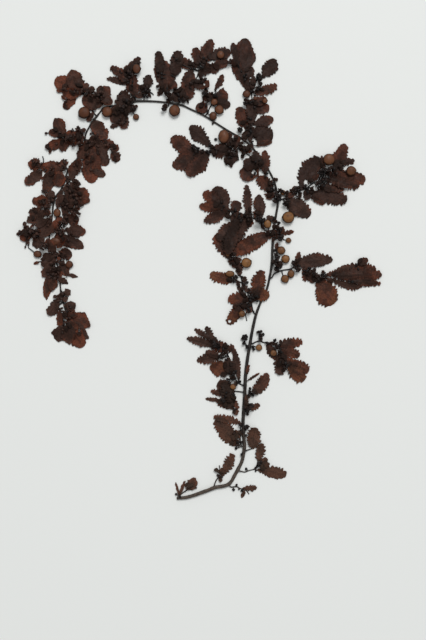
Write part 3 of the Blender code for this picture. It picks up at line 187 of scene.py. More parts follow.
# Main stem from its cut base to its tip: x,y,radius.
AXIS = read_rows("""
-15.5,-148,1 -10,-147.6,1.1 -5,-146.3,1.15 0,-144.5,1.2 5,-142.7,1.2 9,-141.1,1.2 14,-140.3,1.2
17.2,-139.3,1.2 19.7,-137,1.15 21.7,-133.3,1.15 24,-129.2,1.15 26.4,-124.3,1.15 27.6,-118.9,1.15
28.1,-114.4,1.15 27.8,-110,1.1 27.4,-104,1.1 27.3,-97,1.1 27.8,-90,1.2 28.1,-85,1.15 28.3,-80,1.1
28.5,-74,1.1 28.9,-67,1.1 29.9,-59,1.1 30.9,-52.5,1.05 31.9,-47,1 32.9,-41,1 34.3,-34.5,1 35.6,-29.5,0.9
38.3,-22.3,0.8 42.3,-14,0.75 44.6,-4.5,0.8 45.8,4,0.85 46.2,14,0.85 47,26,0.8 48.5,35,0.75 49.5,41.5,0.75
49.1,47,0.7 48.4,52.5,0.65 46.8,57.5,0.6 43.8,63.5,0.6 38.5,71,0.6 33.5,78,0.6 27.2,83.6,0.6 18.5,88.6,0.6
10.1,93.8,0.6 2.5,98.6,0.6 -7.2,103.3,0.6 -12.6,105.6,0.6 -23.3,107.5,0.6 -33,108.2,0.65 -41.4,108.1,0.65
-49.5,106.6,0.6 -58,105,0.55 -63.2,103.9,0.5 -65,101.5,0.5 -67.2,98.6,0.6 -70.3,95,0.6 -72.2,91.6,0.55
-74.4,87,0.55 -75.4,81.5,0.55 -77,76,0.55 -79.8,71.3,0.55 -84.2,66.6,0.55 -86.9,61,0.55 -88.2,56,0.55
-90.5,51,0.55 -93.6,46.8,0.6 -95.3,41.5,0.6 -96,36,0.55 -96.4,31.5,0.55 -97.2,26,0.55 -98,20,0.55
-97.3,14.5,0.55 -95.2,8,0.55 -92.6,2,0.55 -91.3,-5,0.5 -90.8,-12,0.5 -90,-18,0.5 -88,-25,0.5 -86.3,-32,0.5
-85,-38.5,0.4
""")

# Torn or eaten places where the floor shows through: x,y,width,height.
HOLES = read_rows("""
18.7,-34,2,2 23.8,-110,1.4,1.4 23.5,-113.5,1.4,1.4 12,-54.7,1.4,1.4 15.2,-57.3,3,3 20,-57.2,1.2,6
21.5,-90,1.4,1.4 67.8,55.5,2.5,4 74,52,3,4 34.2,62.3,3,3 34.3,81.5,3.5,6 32.1,123.3,1.4,1.4 2.2,119.1,1.4,1.4
-85.6,27.9,2.6,2.6 -102.2,38.9,2.2,2.2 -92.7,2.4,2.5,3 -88.5,48.7,1.4,2.5 -78.5,-39.5,1.2,2.6
-87.9,-34.6,1.6,5
""")

# Sprays in the order they are laid down, each with its name and then, in any order,
#   stem      x,y along one side stem; the first one leaves the main stem
#   leaf      x,y of its base, x,y of its tip, width and perhaps bend, which bows it to its left
#   slip      the same, for small leaves that only this visual model has
#   bladder   x,y,width and perhaps length along y
#   tangle    x,y,reach,count: a place crowded with crumpled little blades and receptacles
#   bead      x,y,diameter
LOWER_THIRD = """
main_stem
stem -14,-146.5 -9,-142.8 -6,-141.6
stem 28.3,-105 29.5,-102
leaf -14,-146.5,-16.4,-138,1.6 -14,-146.5,-10.3,-137,2 -8.4,-142.8,-4.8,-134.8,6.2,-0.1 29.2,-69,30.9,-62,2
leaf 29.4,-72.6,37.8,-67.4,1.6 29,-92,29.5,-81,2.4
tangle -10,-141.4,1.4,3
bead 26.2,-119.7,1.8 29.5,-102,3.4 28.9,-107.5,1.8 7.6,93.8,1.6
basal_spray_left
stem 8.6,-140 9.7,-137 11.3,-134.5 12.4,-131.5 11.9,-127
leaf 13.3,-134.5,20.9,-119.6,5.8 12.2,-133,14.3,-129,3
tangle 12.6,-132.4,1.6,3
bead 10.8,-133.4,1.6
basal_spray_right
stem 19.4,-140.9 23,-140.7 25.5,-142 28,-142.4 30,-144 31,-145.6
leaf 26.6,-141.8,36.2,-141.3,3.4 28.4,-142.8,26.3,-148,2.4
bead 21,-142.6,2 23,-139.6,1.6 26.3,-143.3,1.6
basal_spray_upper
stem 24.7,-130.3 28,-131.3 31,-130.3 35,-129.4
stem 34,-129.8 36,-127.2 36.6,-124
leaf 37,-124.6,39.2,-112.5,5.4 36,-130,55,-133.8,7.2,0.04 37,-127.3,42.6,-122.3,4 37.5,-127.8,44.4,-125.6,3.8
tangle 38.6,-125.6,2.4,5
bead 29.2,-129.3,1.8
stalked_leaf
stem 29.6,-117.2 33.2,-116.2
leaf 33.4,-116.6,34.8,-102.4,8.6
lower_left_spray
stem 27,-114.9 25.6,-113.5 25.3,-108 25.6,-102 26,-99.4
leaf 24.2,-114.6,9.5,-96.8,10.4,0.01 26.3,-99.7,8.2,-95.2,4.8 26,-104.8,19.8,-109.8,5.5
tangle 22.4,-112,1.8,3 22.6,-105.4,1.8,3
bead 24.3,-111.5,1.8 26.2,-112,1.8
left_spray
stem 26.3,-79.5 21,-79.2 16,-80.8
leaf 21.5,-80,10.5,-74,9 16,-81.5,6.3,-78.8,3.5 13,-85,2.8,-83.9,2.4 20,-80.5,23,-94.5,4.2
leaf 21.5,-90.2,9.8,-84.8,5.4 19,-79,16.6,-90,8
slip 21.6,-87,12.8,-72.8,7.6 20.6,-84,14.4,-73.6,6.4
bladder 20.7,-76,4
tangle 18.6,-81,2.6,5 15.6,-86,2.6,3 22,-90,1.4,2
left_fan
stem 27.4,-75.2 24.5,-74 22.5,-71.5 21,-67 19,-60 17,-55 13,-51
stem 22.3,-71.5 18.3,-71.2
leaf 24.5,-73,19.1,-48.4,3.9,-0.05 12,-50.1,-9.3,-44.9,5.1 20.5,-52.5,6,-48.5,7.2 9,-49,3.2,-37.2,4.2
leaf 8,-46.5,-4.2,-38.8,3.4 13.5,-56.6,-2.8,-59.4,5.4 14,-57.5,3,-53.2,4.6 21,-66.2,5.6,-63.2,9.2
leaf 21,-70,16.5,-57.5,7
tangle 13.4,-52,3.2,6 17.6,-68.4,3.2,6 10.4,-48.6,2.6,4 17.4,-58.6,2.6,4 22,-71.6,1.8,3
bead 17,-71.3,1.8 18.3,-73.4,1.8
right_leaf_low
stem 29.2,-89.6 31,-89.6
leaf 30.5,-90,38,-87.6,4,-0.06
tangle 32.4,-88.6,1.6,4
bead 31,-90,3 32,-87.7,3
right_leaf_high
stem 29,-84 31.2,-82.2 31.6,-77.5
leaf 32.8,-80.6,42.6,-67.2,7.6,-0.1
tangle 32.6,-80.4,1.6,4
bead 31,-81.2,2 31.5,-79.2,2.2 31.6,-77.2,2
receptacles_left
stem 29.9,-50.7 29.3,-49.2 28.2,-47.6 28.4,-44.6
bead 29.6,-50.4,2.4 27.6,-48.1,2.2 27,-45.2,2.4 29,-43.6,2.6 27.5,-43.5,2 28.8,-45.3,2.2
receptacles_right
stem 32.6,-50.4 34,-50.1 36,-50.5
bladder 37.4,-50.9,4.2
bead 33.6,-50.4,2 34,-52.1,2
"""
MIDDLE = """
right_spray
stem 33.2,-48.3 35.5,-47.2 38.2,-46.7 41,-47.7 45,-48.4 49.5,-49.2 51,-53 51.3,-58 55,-61
stem 38,-46.8 38.4,-44 37.9,-41
leaf 42.5,-48.3,48.5,-58.5,5 49.5,-49.7,65.6,-47.2,6,0.02 50,-51,63.8,-56.3,7 51,-54,50.7,-68.7,6.8
leaf 54,-60,69.8,-66,8.8 55.3,-61,66.8,-72.2,8.8 50.5,-52,56.5,-62.5,6
bladder 46.8,-54.3,4.4
tangle 50.6,-50.6,2.2,6 52,-58,3.2,6 54.4,-61.6,2.6,5 43,-48.6,1.6,3
bead 37,-40.9,2.2 38.7,-40.5,2 40.1,-42.3,2 38.3,-43,3 38.4,-45.4,2.8 47.5,-46.4,2.4
right_branch
stem 45.7,-5.9 47,-3.6 50,-1.9 53,-0.9 57,-0.3 61,1.2 66,1.8 70,-0.6 73,-4.3 77,-5.5 81,-4.8 86,-4.2
stem 49.5,-2 48.6,0 50.3,2.6
stem 52,-1.4 52.8,-3.8
stem 58.5,0 58.3,-1.4
leaf 61.5,2,63.7,11,3.2 60.2,2.8,85.2,5.9,8.8,0.03 66.5,2,67.5,-8.4,3.6 70.3,0,72,-9.4,5
leaf 75,-7,85.8,-22.7,13.9 84,-4,113,0,8.5,0.04 84,-4.4,116.8,-3.8,9 84,-6.2,104,-11.5,4.6,-0.08
leaf 97,-8,116.2,-9.6,4.8 78.2,-4.5,78,-9,3.6 101,2,107.6,6.6,4.4
slip 80.4,-4.4,87,-2.2,3 80.4,-5.8,85.4,-8.8,2.4
bladder 54.5,6.2,5.5 54.2,-6.6,5.2 58.1,-3.3,4.6,5.3
tangle 49.6,-0.6,2.2,5 61.6,2.4,2.6,5 71.6,-4.4,2.8,5 67,-2,2.4,4 78.4,-5,2.8,6 101.6,1.6,2.4,3
bead 62.1,-1.4,2.2 50.4,2.6,3.2 48.4,-0.4,2.6 50.8,0.6,2.2 78.2,-4.6,3.4 59.6,4.2,2.2 72.6,-3.4,2.4
left_branch
stem 33.9,-28.3 33,-24.5 32.2,-20.5 30.4,-16.6 29.9,-13.2 27.3,-10.2 26,-6 24.8,-1 23.2,3 20.6,5.6 18.6,8
stem 26.3,-8.6 20.5,-8.6
stem 27.4,-10 29.9,-9
stem 31.4,-26.4 29,-29 29.6,-33.6
stem 33.6,-28 34.5,-27.4
leaf 35,-19,38.9,-0.8,8 30.5,-14.5,44.2,-18,8 31.5,-20,17.4,-19.3,7.6 31,-23,20.5,-25.5,6
leaf 26,-23,17.6,-35.9,6.8 32,-23.5,30.2,-28.8,3.6 28.2,-18,23.6,-11,2.6 20.5,-8.4,6,-2.8,7.2,0.03
leaf 19.5,6,9,22,8 25,-5,24.5,5,4
slip 26.2,-9.4,30.6,-15,2.8 24,-0.5,18,6.4,3.6 20.4,6.8,26.4,5.6,2.6
bladder 26.4,-29.2,4.4 18.7,-3.3,6,4 29.3,3.7,6.8 22,13,2.8 17.2,9,2.6
tangle 31.6,-18,3.4,7 31,-24,3,5 22,-6.6,2.6,5 19.4,6.6,2.6,5 22.6,1.6,1.6,3 34.4,-18.6,2.4,4 27.6,-10.6,2,4
bead 21.2,-6.6,3 22.4,-5,2.4 29.8,-9,2 31,-27.5,2.4
axis_shoot
stem 47.3,3.2 48.2,6 48.6,10.5 48.8,15
leaf 48.6,11.5,49.2,17,2.2
bladder 51.7,11.8,5.3
tangle 48.6,6.6,2.2,5 48.4,13,1.8,3
bead 48.4,5.2,2.8 49.8,7.3,2.4 48.2,9,2.6 48,2.6,2
axis_knot
stem 48.2,19 48.8,22 49.6,26 49.6,30 46,32 43,33.8
stem 49.3,22.4 52.5,22.6
stem 49.5,20.5 52.2,19.2 54.8,18.5
leaf 48.2,22.3,20.5,9.2,9.8,-0.055 52,22.5,60.2,24.3,2.8 50,20,53.2,27.3,3.4 49.6,30,42.3,33.9,3.4
leaf 49.6,19,47,25,4
bladder 56.4,18.3,3.6
tangle 49.4,21,2.8,7 48.6,28.6,2.4,4 46.6,32,2.4,4
bead 50.8,20,3.2 51.4,25.4,2.6
left_upper_fan
stem 45.2,24.6 42,24.6 39.6,26.8 37.6,30.5 33,33 28,34 23,36 16,38 9,41
stem 44,24.6 43.6,26.4
leaf 17,37.5,9.1,52.9,10.4 14.5,39,1.8,49.8,8 20,37.5,-1.2,40.5,7 21,36.5,24,43.8,7 17,36.2,1.8,30.6,6.6
leaf 30,33.5,18.6,32.5,6.6 31.5,34.5,31.3,26.8,4.2 32,33,13.8,12.6,9.4 27.4,32.4,10.2,18.8,8.6 23,33,17,9,8
leaf 30.8,34,29.4,54.4,5 38.3,31.5,37.6,48,6.8 38,29.5,35.5,38,5
bladder 42.9,28.8,5,5.8
tangle 33.6,33,3.8,8 27,34,3.4,6 38.6,30,2.8,6 20,36.4,3.4,5 12.6,40.6,3,3 45.4,25.6,2.2,5
bead 38.2,30.8,3.6 36,31.5,3
right_fan
stem 51,44.2 53,45.2 56,46 60,48.5 64,50.5 68,52 72,55 75.5,56.6 77.6,60 80,62.5 86,62
stem 57,46.4 59,41 61.8,36.2 59.6,33
stem 79.5,62.3 80.2,67
leaf 55,45.5,70.8,34.6,10.2,-0.03 62,48.5,54.2,46.8,3.5 65,51,76.3,72,10.8,0.07 68.5,50.5,94.4,44.3,9.8,-0.02
leaf 76,53,92.5,51.2,5.4 67.5,51.8,69.4,44.6,5 62,50,59.4,53,4 63,50,64.6,47.3,2.4 86.7,63,92.8,80.9,8
leaf 85.5,61.5,90,70,7 88.5,67.5,99.3,70.2,4.2 80.5,61.5,106.4,58,9.6,-0.04 82,58.5,101.8,52.3,6.6
slip 79.2,64.6,77.6,73,2.4 70.4,55.4,76.2,61,2.8 70,52.6,75.8,50.2,3.2 78,59.4,83.8,55.2,2.4
slip 70.4,46.6,79.4,41.6,3.2
bladder 82.4,70.3,7.6 96.8,63,6.4 56.3,33,7.8
tangle 78.4,59,3.6,8 81,63,2.8,6 66,51.4,3.6,7 60.6,50.4,3,6 54.6,43.4,2.6,5 73,55,2.4,4 88,66,2.6,3
bead 54.2,41.8,3 55.8,42.8,2.6 77,55.6,3.2 78.6,53.8,3 79.2,57,3 77.2,62,3.2 79.2,63.4,3.2 82,63.3,2.6
axis_fan
stem 48,44 46.6,49 45,54 42.6,59 39.5,64 35,71
stem 48.6,44.5 50.5,47 52.9,49
leaf 46,51.5,43.3,44.6,5.2 46,50,37.2,59.5,8 41.5,60.5,41.2,76.6,5.6 36.8,69.5,28.8,56.4,10.6,-0.06
leaf 35.5,73,28.6,64,7.6 39,64,34.5,76,6
slip 24.5,77,33,75.6,3.4
bladder 53,49,3.2,3.6
tangle 28.4,76.6,3,7 36,68,3,4 47.6,50,3,6 45.6,56,2.6,4 34,60,3,3 53,49.4,1.8,5
bead 48,43.6,3.6 50,45.6,3.4 48.4,47.6,3.4 50.8,50.2,2.8 27.9,75.7,1.6
middle_left_spray
stem 31.8,78 27,78 22,77 15,76 9,76.5 4,76 -2,75.8 -6,77
stem 15,76 14.6,81
stem 22.8,77 24.4,70
leaf 6.8,78.2,-6.9,92.4,8.4 -4.5,75.4,-18.4,85.5,9.6,0.06 4.5,75.4,-18.6,66.4,10.5 5.5,75,-8.6,59.8,9.6
leaf 18.5,76.2,19.6,67.2,8.4 24,78,22.3,86.3,4.4 20,77,6.5,76,9
slip 19.6,78,18.2,88.2,3.2 22.6,78,16.4,81.6,3.2
bladder 14.7,85,7.2,9
tangle 20.4,76.4,4.6,12 17.4,71.4,3.4,7 10,76,3,6 -1.6,76.6,2.4,5 22.4,82.4,2.6,5
bead -4.6,78.4,2.2 -1.8,77,2.2 1,75.8,2.2 9.5,83.5,2
upper_right_branch
stem 33.6,79.4 32,84 31.5,90 32,97 33,104 33,110 31.5,116 28,122 25,128
stem 32.5,113 35,119 36.5,123.5 39.5,124.2
leaf 32.4,87.3,46.7,86,12.2 30.8,90,24.3,104.6,7.4,0.06 33,93,46.8,97.1,6.6 33,104,44.2,103,7.2
leaf 33,114,48.9,119.2,6,-0.1 39,123,47.2,135.7,8.6,-0.06 29.6,121.5,33,130.5,5.6 27,126,29,148.9,12.4
leaf 24,132,20.4,145.8,4.8 31.5,114.5,21,134.5,6.8 33,80,31,93,6 32,92,33,109.5,7 33.5,106,42.5,109.8,5.4
slip 32.4,114.8,34.2,124.4,3.8 28.4,89,27.4,83,3 35,79.4,46,82.4,3.6
bladder 41.2,108,3.6 34.9,109.6,2.8 29.4,112.6,5
tangle 32.6,113,3.2,8 36.8,118.6,2.6,6 37,123.6,2.4,6 31.6,105,3,5 38.6,106.6,3.4,5 30.4,96.6,3,4
tangle 31.4,87.4,3.2,5 29,80.4,3,6
bead 25.2,89.4,3.4 37,124.2,3 38.2,121.3,2.4 28.7,106.3,2.8 36.4,116,3
small_tuft
stem 3.8,100.3 5.6,104 8,108 9.5,113 9.6,117
leaf 8.9,115.6,14.1,125.5,3.9,-0.04 9.5,111.5,0.8,110.3,5.4 8.4,112,17.6,110.2,9.6 9,108,18.9,105,6.2
leaf 4.6,101.8,-3,105.6,7.4
bladder 8.5,107.3,4.6 11.8,102.4,6 7.8,98.4,5,5.6
tangle 2.6,106.6,2.8,7 5.6,112,2.6,6
bead 2.6,112.2,2.4
"""
ARCH = """
top_spray
stem -14,107.9 -12,112 -7,118 -2.5,124 0.5,130 4,134 10,135 18,134
stem -12.4,111.3 -13.6,109.4 -15.6,105 -16.8,103
leaf -5.6,129.4,-7,109.3,9.4,-0.1 -6,119.2,5.6,119.2,7.4 -1,130.5,-17,134.3,6.4 -1.5,130.5,-3.4,142.8,6.2
leaf 1,131,6.8,148.4,7.4 3,136.1,19.2,139.9,7.8 0,128.5,12,130.2,6.4 18.8,133.6,8,130.7,6.2
leaf -12.5,109,-15,116.4,8.6 18,134.3,24,132,5 -2.5,125,6.5,129,5
slip -13,107.6,-19.6,110.6,3
bladder 12.7,137.7,5.2 -13.6,132.3,3.2 -17,101.8,7.4
tangle -13.6,110.6,3.8,8 -8,118,3,5 2,121,3,5 3.4,131.6,3,4 -6,134.4,2.4,3 -21.4,106.6,1.8,3
bead -11.4,108,3
top_left_spray
stem -19.8,109 -21,112 -22.5,118 -21.5,124 -20,128
stem -21,112 -20.6,110.2 -20.8,105.6 -24,103
leaf -21.5,113.5,-25.2,134.4,12.4 -25.5,125,-27.8,140.4,6.2 -18.6,124,-15.6,141,8.4,-0.08
leaf -22,117,-15.4,119.4,6.6 -24,118,-27.5,111.6,3.4
slip -18.4,110.8,-23.6,113.6,3
tangle -23.4,116.6,4.2,8 -21.6,110.4,2.6,6 -18,134.6,3.2,4 -25.6,127,3,3
bead -24.2,102.6,2.8
arch_fan
stem -42.6,109.9 -43.5,114 -45,119 -46.5,124 -47,128
leaf -42.2,111,-46.4,127.5,8 -45.5,119.8,-61,122.9,4 -47,124.8,-58.6,129.7,5.6 -46.4,121,-53.6,125.2,5
leaf -47,126,-48.2,131.4,4 -44.6,125,-40.2,137,5.4 -45.4,126.5,-45.2,133.3,3.6
bladder -41.4,128.4,5.4,6.4
tangle -45.6,122.4,3.6,6 -50.4,127,2.4,3 -42.6,131.2,1.8,5 -43.6,113,2.6,3
bead -40,132.8,1.8
arch_spray
stem -36.6,110.2 -36.2,113 -34.8,117
stem -35.8,114.2 -32.5,114 -30.6,112.3
leaf -35,115,-33.8,125.4,5.6 -36,112,-37.2,119,6.4 -36.4,111.4,-42.6,112,3.8
tangle -35,115.4,2.6,6
arch_lower_spray
stem -48.4,105.3 -50,102 -51.5,97 -52,93
stem -46,102 -44,101 -42.8,99.6
leaf -45,106.3,-53,113.4,8.3 -47,107,-55.8,107.8,3.8 -50,104,-41.8,103,5.8 -51,104,-49.6,90.2,7.2
leaf -51,103,-57.8,94.6,7.6 -52.3,93.6,-58.6,91.3,2.8 -49.5,104,-57.6,101.2,6
bladder -41.9,97.9,4 -60.4,101,7
tangle -50,104.6,4.4,9 -52.4,110.6,3.4,5 -44,103,3,6 -50.4,95.6,3.4,5
far_arch_spray
stem -68.4,99.8 -71,103.4 -73,108 -76,112.5 -84,114.5 -89,115.5
stem -73,109 -66,111.5
leaf -60.8,107.5,-77,108.4,9.8 -64.3,110.5,-59,117.6,6.4 -64.3,111,-65.2,118,5 -72,111.5,-70,118,4.2
leaf -75,114,-94.6,121.8,10.2 -78.8,113.5,-83.8,128.7,11.4 -75,114,-73.4,120,4 -87,116,-93.4,114.9,2.8
leaf -81.2,113,-88.4,103.3,6.2,0.03 -76,113,-89.3,113,7 -66,110,-56.6,107,6.2
slip -69,101.6,-73.6,95,3.8
bladder -75.2,100.4,7.8
tangle -87,115.4,4,7 -75,115.4,3.2,6 -70.4,112.6,3.2,6 -65.6,113,3,5 -87.4,108,1.6,4 -68.6,108.6,3.4,4
"""
HOOK = """
hook_fan
stem -68.2,96.2 -68,90 -69,84 -71,78 -72,72 -71.5,66
stem -72.5,66 -78,64.5
stem -68.8,85 -64.5,83 -60.5,80.6 -57.8,77
leaf -68.2,96,-60.3,84,9.4,-0.1 -70,86,-59.8,67.4,11,-0.08 -72.2,82,-71.2,55.3,11.4,0.03
leaf -70.4,63.5,-61.6,60.6,4.8 -73,83,-79.2,70.6,7,0.04 -62.5,81.2,-55.8,80.2,5 -59,78.6,-52.8,77.3,5.2
leaf -57.6,76.2,-53.4,69.3,6.4
tangle -69,79,5,9 -72,71,4,6 -66,84,3,4 -59.5,79,2.6,4 -56,74,2,3
hook_spray
stem -76.4,84.4 -80,84.3 -86,84 -92,84.6
stem -92,85 -96,88 -100.2,87.3
stem -81,87 -83.2,90.8
leaf -87.6,85.8,-94.4,97.4,8.2 -87,86,-98.2,88.8,5.2 -86,84,-100,77.6,5.8 -85,83,-91,76.6,5.8
leaf -75.4,85,-88,84.2,9.2 -76,84.6,-80.4,88.8,5 -76.4,84,-79.6,79.8,4.4
tangle -80.5,87,4.4,12 -86,83.6,4.2,9 -78.6,82,3.4,7 -92,87,2.8,5 -95.5,79.2,4,6
bead -79,90.1,3 -82,79.8,2.4 -76.6,88.4,2.6 -100,87.4,1.8
outer_spray
stem -86.2,64.6 -91,65.4 -97,66.4 -103,66.2 -107,64
stem -102.3,67 -101.7,70 -102.3,72.7
leaf -88,64.5,-103.5,66,7.6 -87.8,65,-90,70.5,5.4 -102,66,-111.7,68.4,7.4 -102.5,63.6,-114,55.6,7.6,0.06
leaf -96.8,64,-101.6,48.6,7.6,0.05 -90.2,64,-92.4,52.8,7.4
tangle -106,68.4,3.6,6 -88.6,69,3,5 -98.4,62,3.4,4
bead -107.8,69,2.4
inner_fan
stem -87,56.6 -85,53 -83,49 -84,44
leaf -85.6,57,-77.5,70,7.2 -84.4,56.2,-71.6,43.4,10.6,-0.1 -86,54,-84.2,36.8,7.6 -79.4,46,-75.8,40.6,2.6
leaf -82,46,-78.6,37.8,3 -86.6,55.6,-87.8,42,4.4 -87,45,-88.5,33,5
slip -89.6,50.5,-92.8,38.6,4.6 -77.6,54.6,-83.4,57.2,3.6
tangle -84.4,54,4.6,10 -82.4,47,4.6,10 -80,39.4,3,6 -87,40,3,6 -80.6,65,2.6,3
outer_pair
stem -96.4,42.6 -99,42 -101,40
stem -96.4,43 -96.8,48
leaf -95.8,44.2,-109.1,43.6,6.8,0.03 -97,44,-96.4,50.6,5 -99,39.8,-111.6,36.4,5.4,0.05
leaf -100,39,-112.7,30.4,7.2,0.06 -99.8,40,-98.8,33.8,4
tangle -98.8,47,3.4,7 -101,39.4,3.4,7 -109,36,3.4,4
inner_spray
stem -96.1,26.4 -93,25.5 -90,24.8 -86,25.4
stem -93.5,26 -94,31 -93,33.5
stem -91.5,24 -89,21
stem -92,25 -89,30 -86,32
leaf -93,25,-94,31.5,5.4 -89.5,29.5,-78.6,32.4,9 -88,25.4,-74.3,24,7.4 -91,22,-75.8,13.2,7
leaf -91,26,-91.5,18.5,6 -90.5,25,-90.6,13.5,6
slip -90,33.6,-92.4,30.2,3.8
bladder -92.8,36,4.8,5.6 -93.6,17.4,7,5.4
tangle -84.4,31,4.4,9 -90,26.6,4,9 -80.4,34.4,2.4,4 -84,20,3.4,5 -90.6,16,3,4
bead -83,36.2,2 -81,34.8,2.2 -88,30.2,2.6
outer_blade
stem -97.8,31.2 -101,29 -105,25 -108,22 -111.8,21 -113.4,14
stem -111.2,19 -111.5,13.6
stem -105,27 -107.8,28.6
leaf -97.6,33,-101.6,20.4,9.6 -98.4,32,-106.8,27.2,5 -107,22.5,-117,19.6,6 -109.6,22.8,-114.4,27,5
leaf -105.4,21,-106.4,12.8,5.4
slip -105,22.6,-101,17.4,3.4
bladder -105.4,9.4,5.4,4.6
tangle -111.6,22.4,4.6,12 -112.6,26,2.4,4 -105,22.6,3,4 -100,27,3,3
bead -116.5,23.8,2 -107.8,28.4,1.8 -113.4,14,1.4
hook_tuft
stem -93.8,8.4 -91,9 -88,9.5
stem -91.6,9 -90,4.5 -87.5,3
stem -91,9 -92.7,8 -95.8,3 -96,-4 -97,-12
stem -95.8,4.6 -102.6,4.6 -105.8,4.5
stem -91,9 -92.6,10.2 -97.6,12 -100.2,14
leaf -92,9,-83.3,10,7.4 -94,9.5,-101.4,2.4,9 -91,5,-86,-4.6,5.6 -96,3,-102.4,-5.4,6.6 -96,0,-90,-5.6,7
leaf -88,-3.3,-79.4,-5.2,2.4 -97.6,-4,-99.8,-20.2,5.2,-0.04 -96,-5,-95.6,-14.2,6 -93,-5,-85.8,-9.8,3.6
leaf -94,9.5,-99,19.4,5.4
bladder -84.9,2.7,4.8
tangle -99,13.4,3.4,7 -93.6,8,4,7 -88.4,6,3,5 -92.4,12.4,2,3 -96.6,2,4,8 -104,4.6,1.8,3 -92,-3,3.4,6
bead -101.5,16.2,2.2 -100.5,14.2,2.6 -102.2,13.7,2
end_tuft
stem -89.7,-14.6 -88,-20 -86.5,-25 -85.5,-29 -84.4,-33
stem -88,-20 -89,-21.5 -91.8,-24 -91,-29 -89.2,-33
leaf -89.2,-17,-84.2,-13.8,4.4 -91.5,-18.6,-98,-30.3,6.8 -88.2,-23,-80.9,-25,6.8 -91,-26,-91.3,-38,4.6
leaf -87,-28.5,-71.4,-37.4,9.6 -86,-33,-72.4,-45.2,6.8 -88.2,-36,-92.2,-47.4,9,-0.05 -86,-32,-76.6,-50.9,9.8
leaf -86.4,-34.5,-84.6,-49,8.6 -90,-15,-91.6,-20,4
slip -88.8,-27,-87.4,-33,2.6 -86,-18,-88.6,-21,3
tangle -92.6,-19.4,2.6,4 -86.6,-25.6,3.4,6 -85.6,-33,3.6,6 -88,-41,3.6,4 -79,-40,3,3
"""
SPRAYS = [spray for part in (LOWER_THIRD, MIDDLE, ARCH, HOOK) for spray in read_plan(part)]
BLADDERS = [row for name, spray in SPRAYS if name not in COVERED for row in spray["bladder"]]

# ------------------------------------------------------------------ colours, and where they change
DARK_BLADE = (0.0200, 0.0100, 0.0068)      # where blades lie in a stack
BROWN_BLADE = (0.0660, 0.0325, 0.0235)     # a single blade
RED_BLADE = (0.1650, 0.0470, 0.0235)       # a thin one, and its tip
AMBER_BLADE = (0.155, 0.0600, 0.0280)      # some thin ones in the lower part
ARCH_BLADE = (0.0430, 0.0225, 0.0170)      # a single blade in the arch and the fan on its right
OLD_DARK = (0.0480, 0.0290, 0.0200)        # a stack near the base of the shoot, where they are paler
OLD_BLADE = (0.1300, 0.0580, 0.0345)       # and a single blade there
STEM_BLACK = (0.0060, 0.0045, 0.0042)
STEM_GREY = (0.030, 0.022, 0.017)
FOOT_GREY = (0.105, 0.078, 0.058)          # where the stem is oldest
BLADDER_TAN = (0.210, 0.098, 0.036)
BLADDER_BROWN = (0.130, 0.056, 0.022)
YOUNG_TAN = (0.125, 0.048, 0.022)          # the same in the upper part of the shoot
YOUNG_BROWN = (0.080, 0.029, 0.014)
# dark of the bladders' specks and stains, and the painted shade round their sides
BLADDER_STAIN_AND_SHADE = (0.020, 0.0080, 0.0050)
BEAD_BROWN = (0.022, 0.0100, 0.0070)
BEAD_BLACK = (0.0050, 0.0035, 0.0032)
HOOK_BEAD = (0.0520, 0.0220, 0.0140)       # receptacles in the hook are paler
BLACK = (0.0, 0.0, 0.0)
FLOOR_COLOUR = (0.788, 0.803, 0.782)
SKY_COLOUR = (0.98, 0.99, 1.0, 1.0)

# Each pair is where a change starts and where it is complete, in metres along Y (rise) or X (run).
OLD_RISE = (-0.050, -0.122)        # towards the base
FOOT_RISE = (-0.085, -0.135)
ARCH_RISE = (0.030, 0.065)
ARCH_RUN = (-0.068, -0.045)
HOOK_TOP_RISE = (0.060, 0.080)     # the top of the hook, where blades are redder
HOOK_TOP_RUN = (-0.066, -0.080)
LOW_RISE = (0.030, 0.015)          # the lower part, without the hook
LOW_RUN = (-0.060, -0.040)
HOOK_RUN = (-0.040, -0.060)
YOUNG_RISE = (0.035, 0.080)
DARK_STACK = (2.4, 0.9)            # layers in a stack, from dark to those of a single blade

# ------------------------------------------------------------------ camera and light
FIELD_HEIGHT = 413.7       # what the picture covers, top to bottom, in mm
VIEW_CENTRE = (7.76, -33.1)
LENS = 60.0
SENSOR = 36.0
FLOOR_REACH = 3.0          # half the floor's side, in metres
KEY_PLACE = (0.60, 2.2, 3.60)      # the lamp, in metres; it looks at the origin
KEY_SIZE = 2.0
KEY_POWER = 120.0
SKY_STRENGTH = 0.46


# ------------------------------------------------------------------ height map
def neighbours(field, reach, axis):
    """The field moved along an axis by each number of cells up to reach, either way."""
    ends = [(reach, reach) if a == axis else (0, 0) for a in (0, 1)]
    padded = np.pad(field, ends, mode="edge")
    size = field.shape[axis]
    return [np.take(padded, range(k, k + size), axis=axis) for k in range(2 * reach + 1)]


def shifted_max(field, reach):
    """Each cell takes the highest value within reach cells of it."""
    for axis in (0, 1):
        field = np.max(neighbours(field, reach, axis), axis=0)
    return field


def blurred(field, sigma):
    """Gaussian blur, sigma in cells."""
    reach = max(1, int(math.ceil(2.5 * sigma)))
    weights = np.exp(-0.5 * (np.arange(-reach, reach + 1) / sigma) ** 2)
    weights /= weights.sum()
    for axis in (0, 1):
        parts = [w * part for w, part in zip(weights, neighbours(field, reach, axis))]
        field = np.sum(parts, axis=0)
    return field


def bilinear(field, gx, gy):
    """Value of the field at fractional cell places."""
    gx = np.clip(gx, 0, field.shape[0] - 1.001)
    gy = np.clip(gy, 0, field.shape[1] - 1.001)
    ix, iy = gx.astype(int), gy.astype(int)
    fx, fy = gx - ix, gy - iy
    low = field[ix, iy] * (1 - fx) + field[ix + 1, iy] * fx
    high = field[ix, iy + 1] * (1 - fx) + field[ix + 1, iy + 1] * fx
    return low * (1 - fy) + high * fy


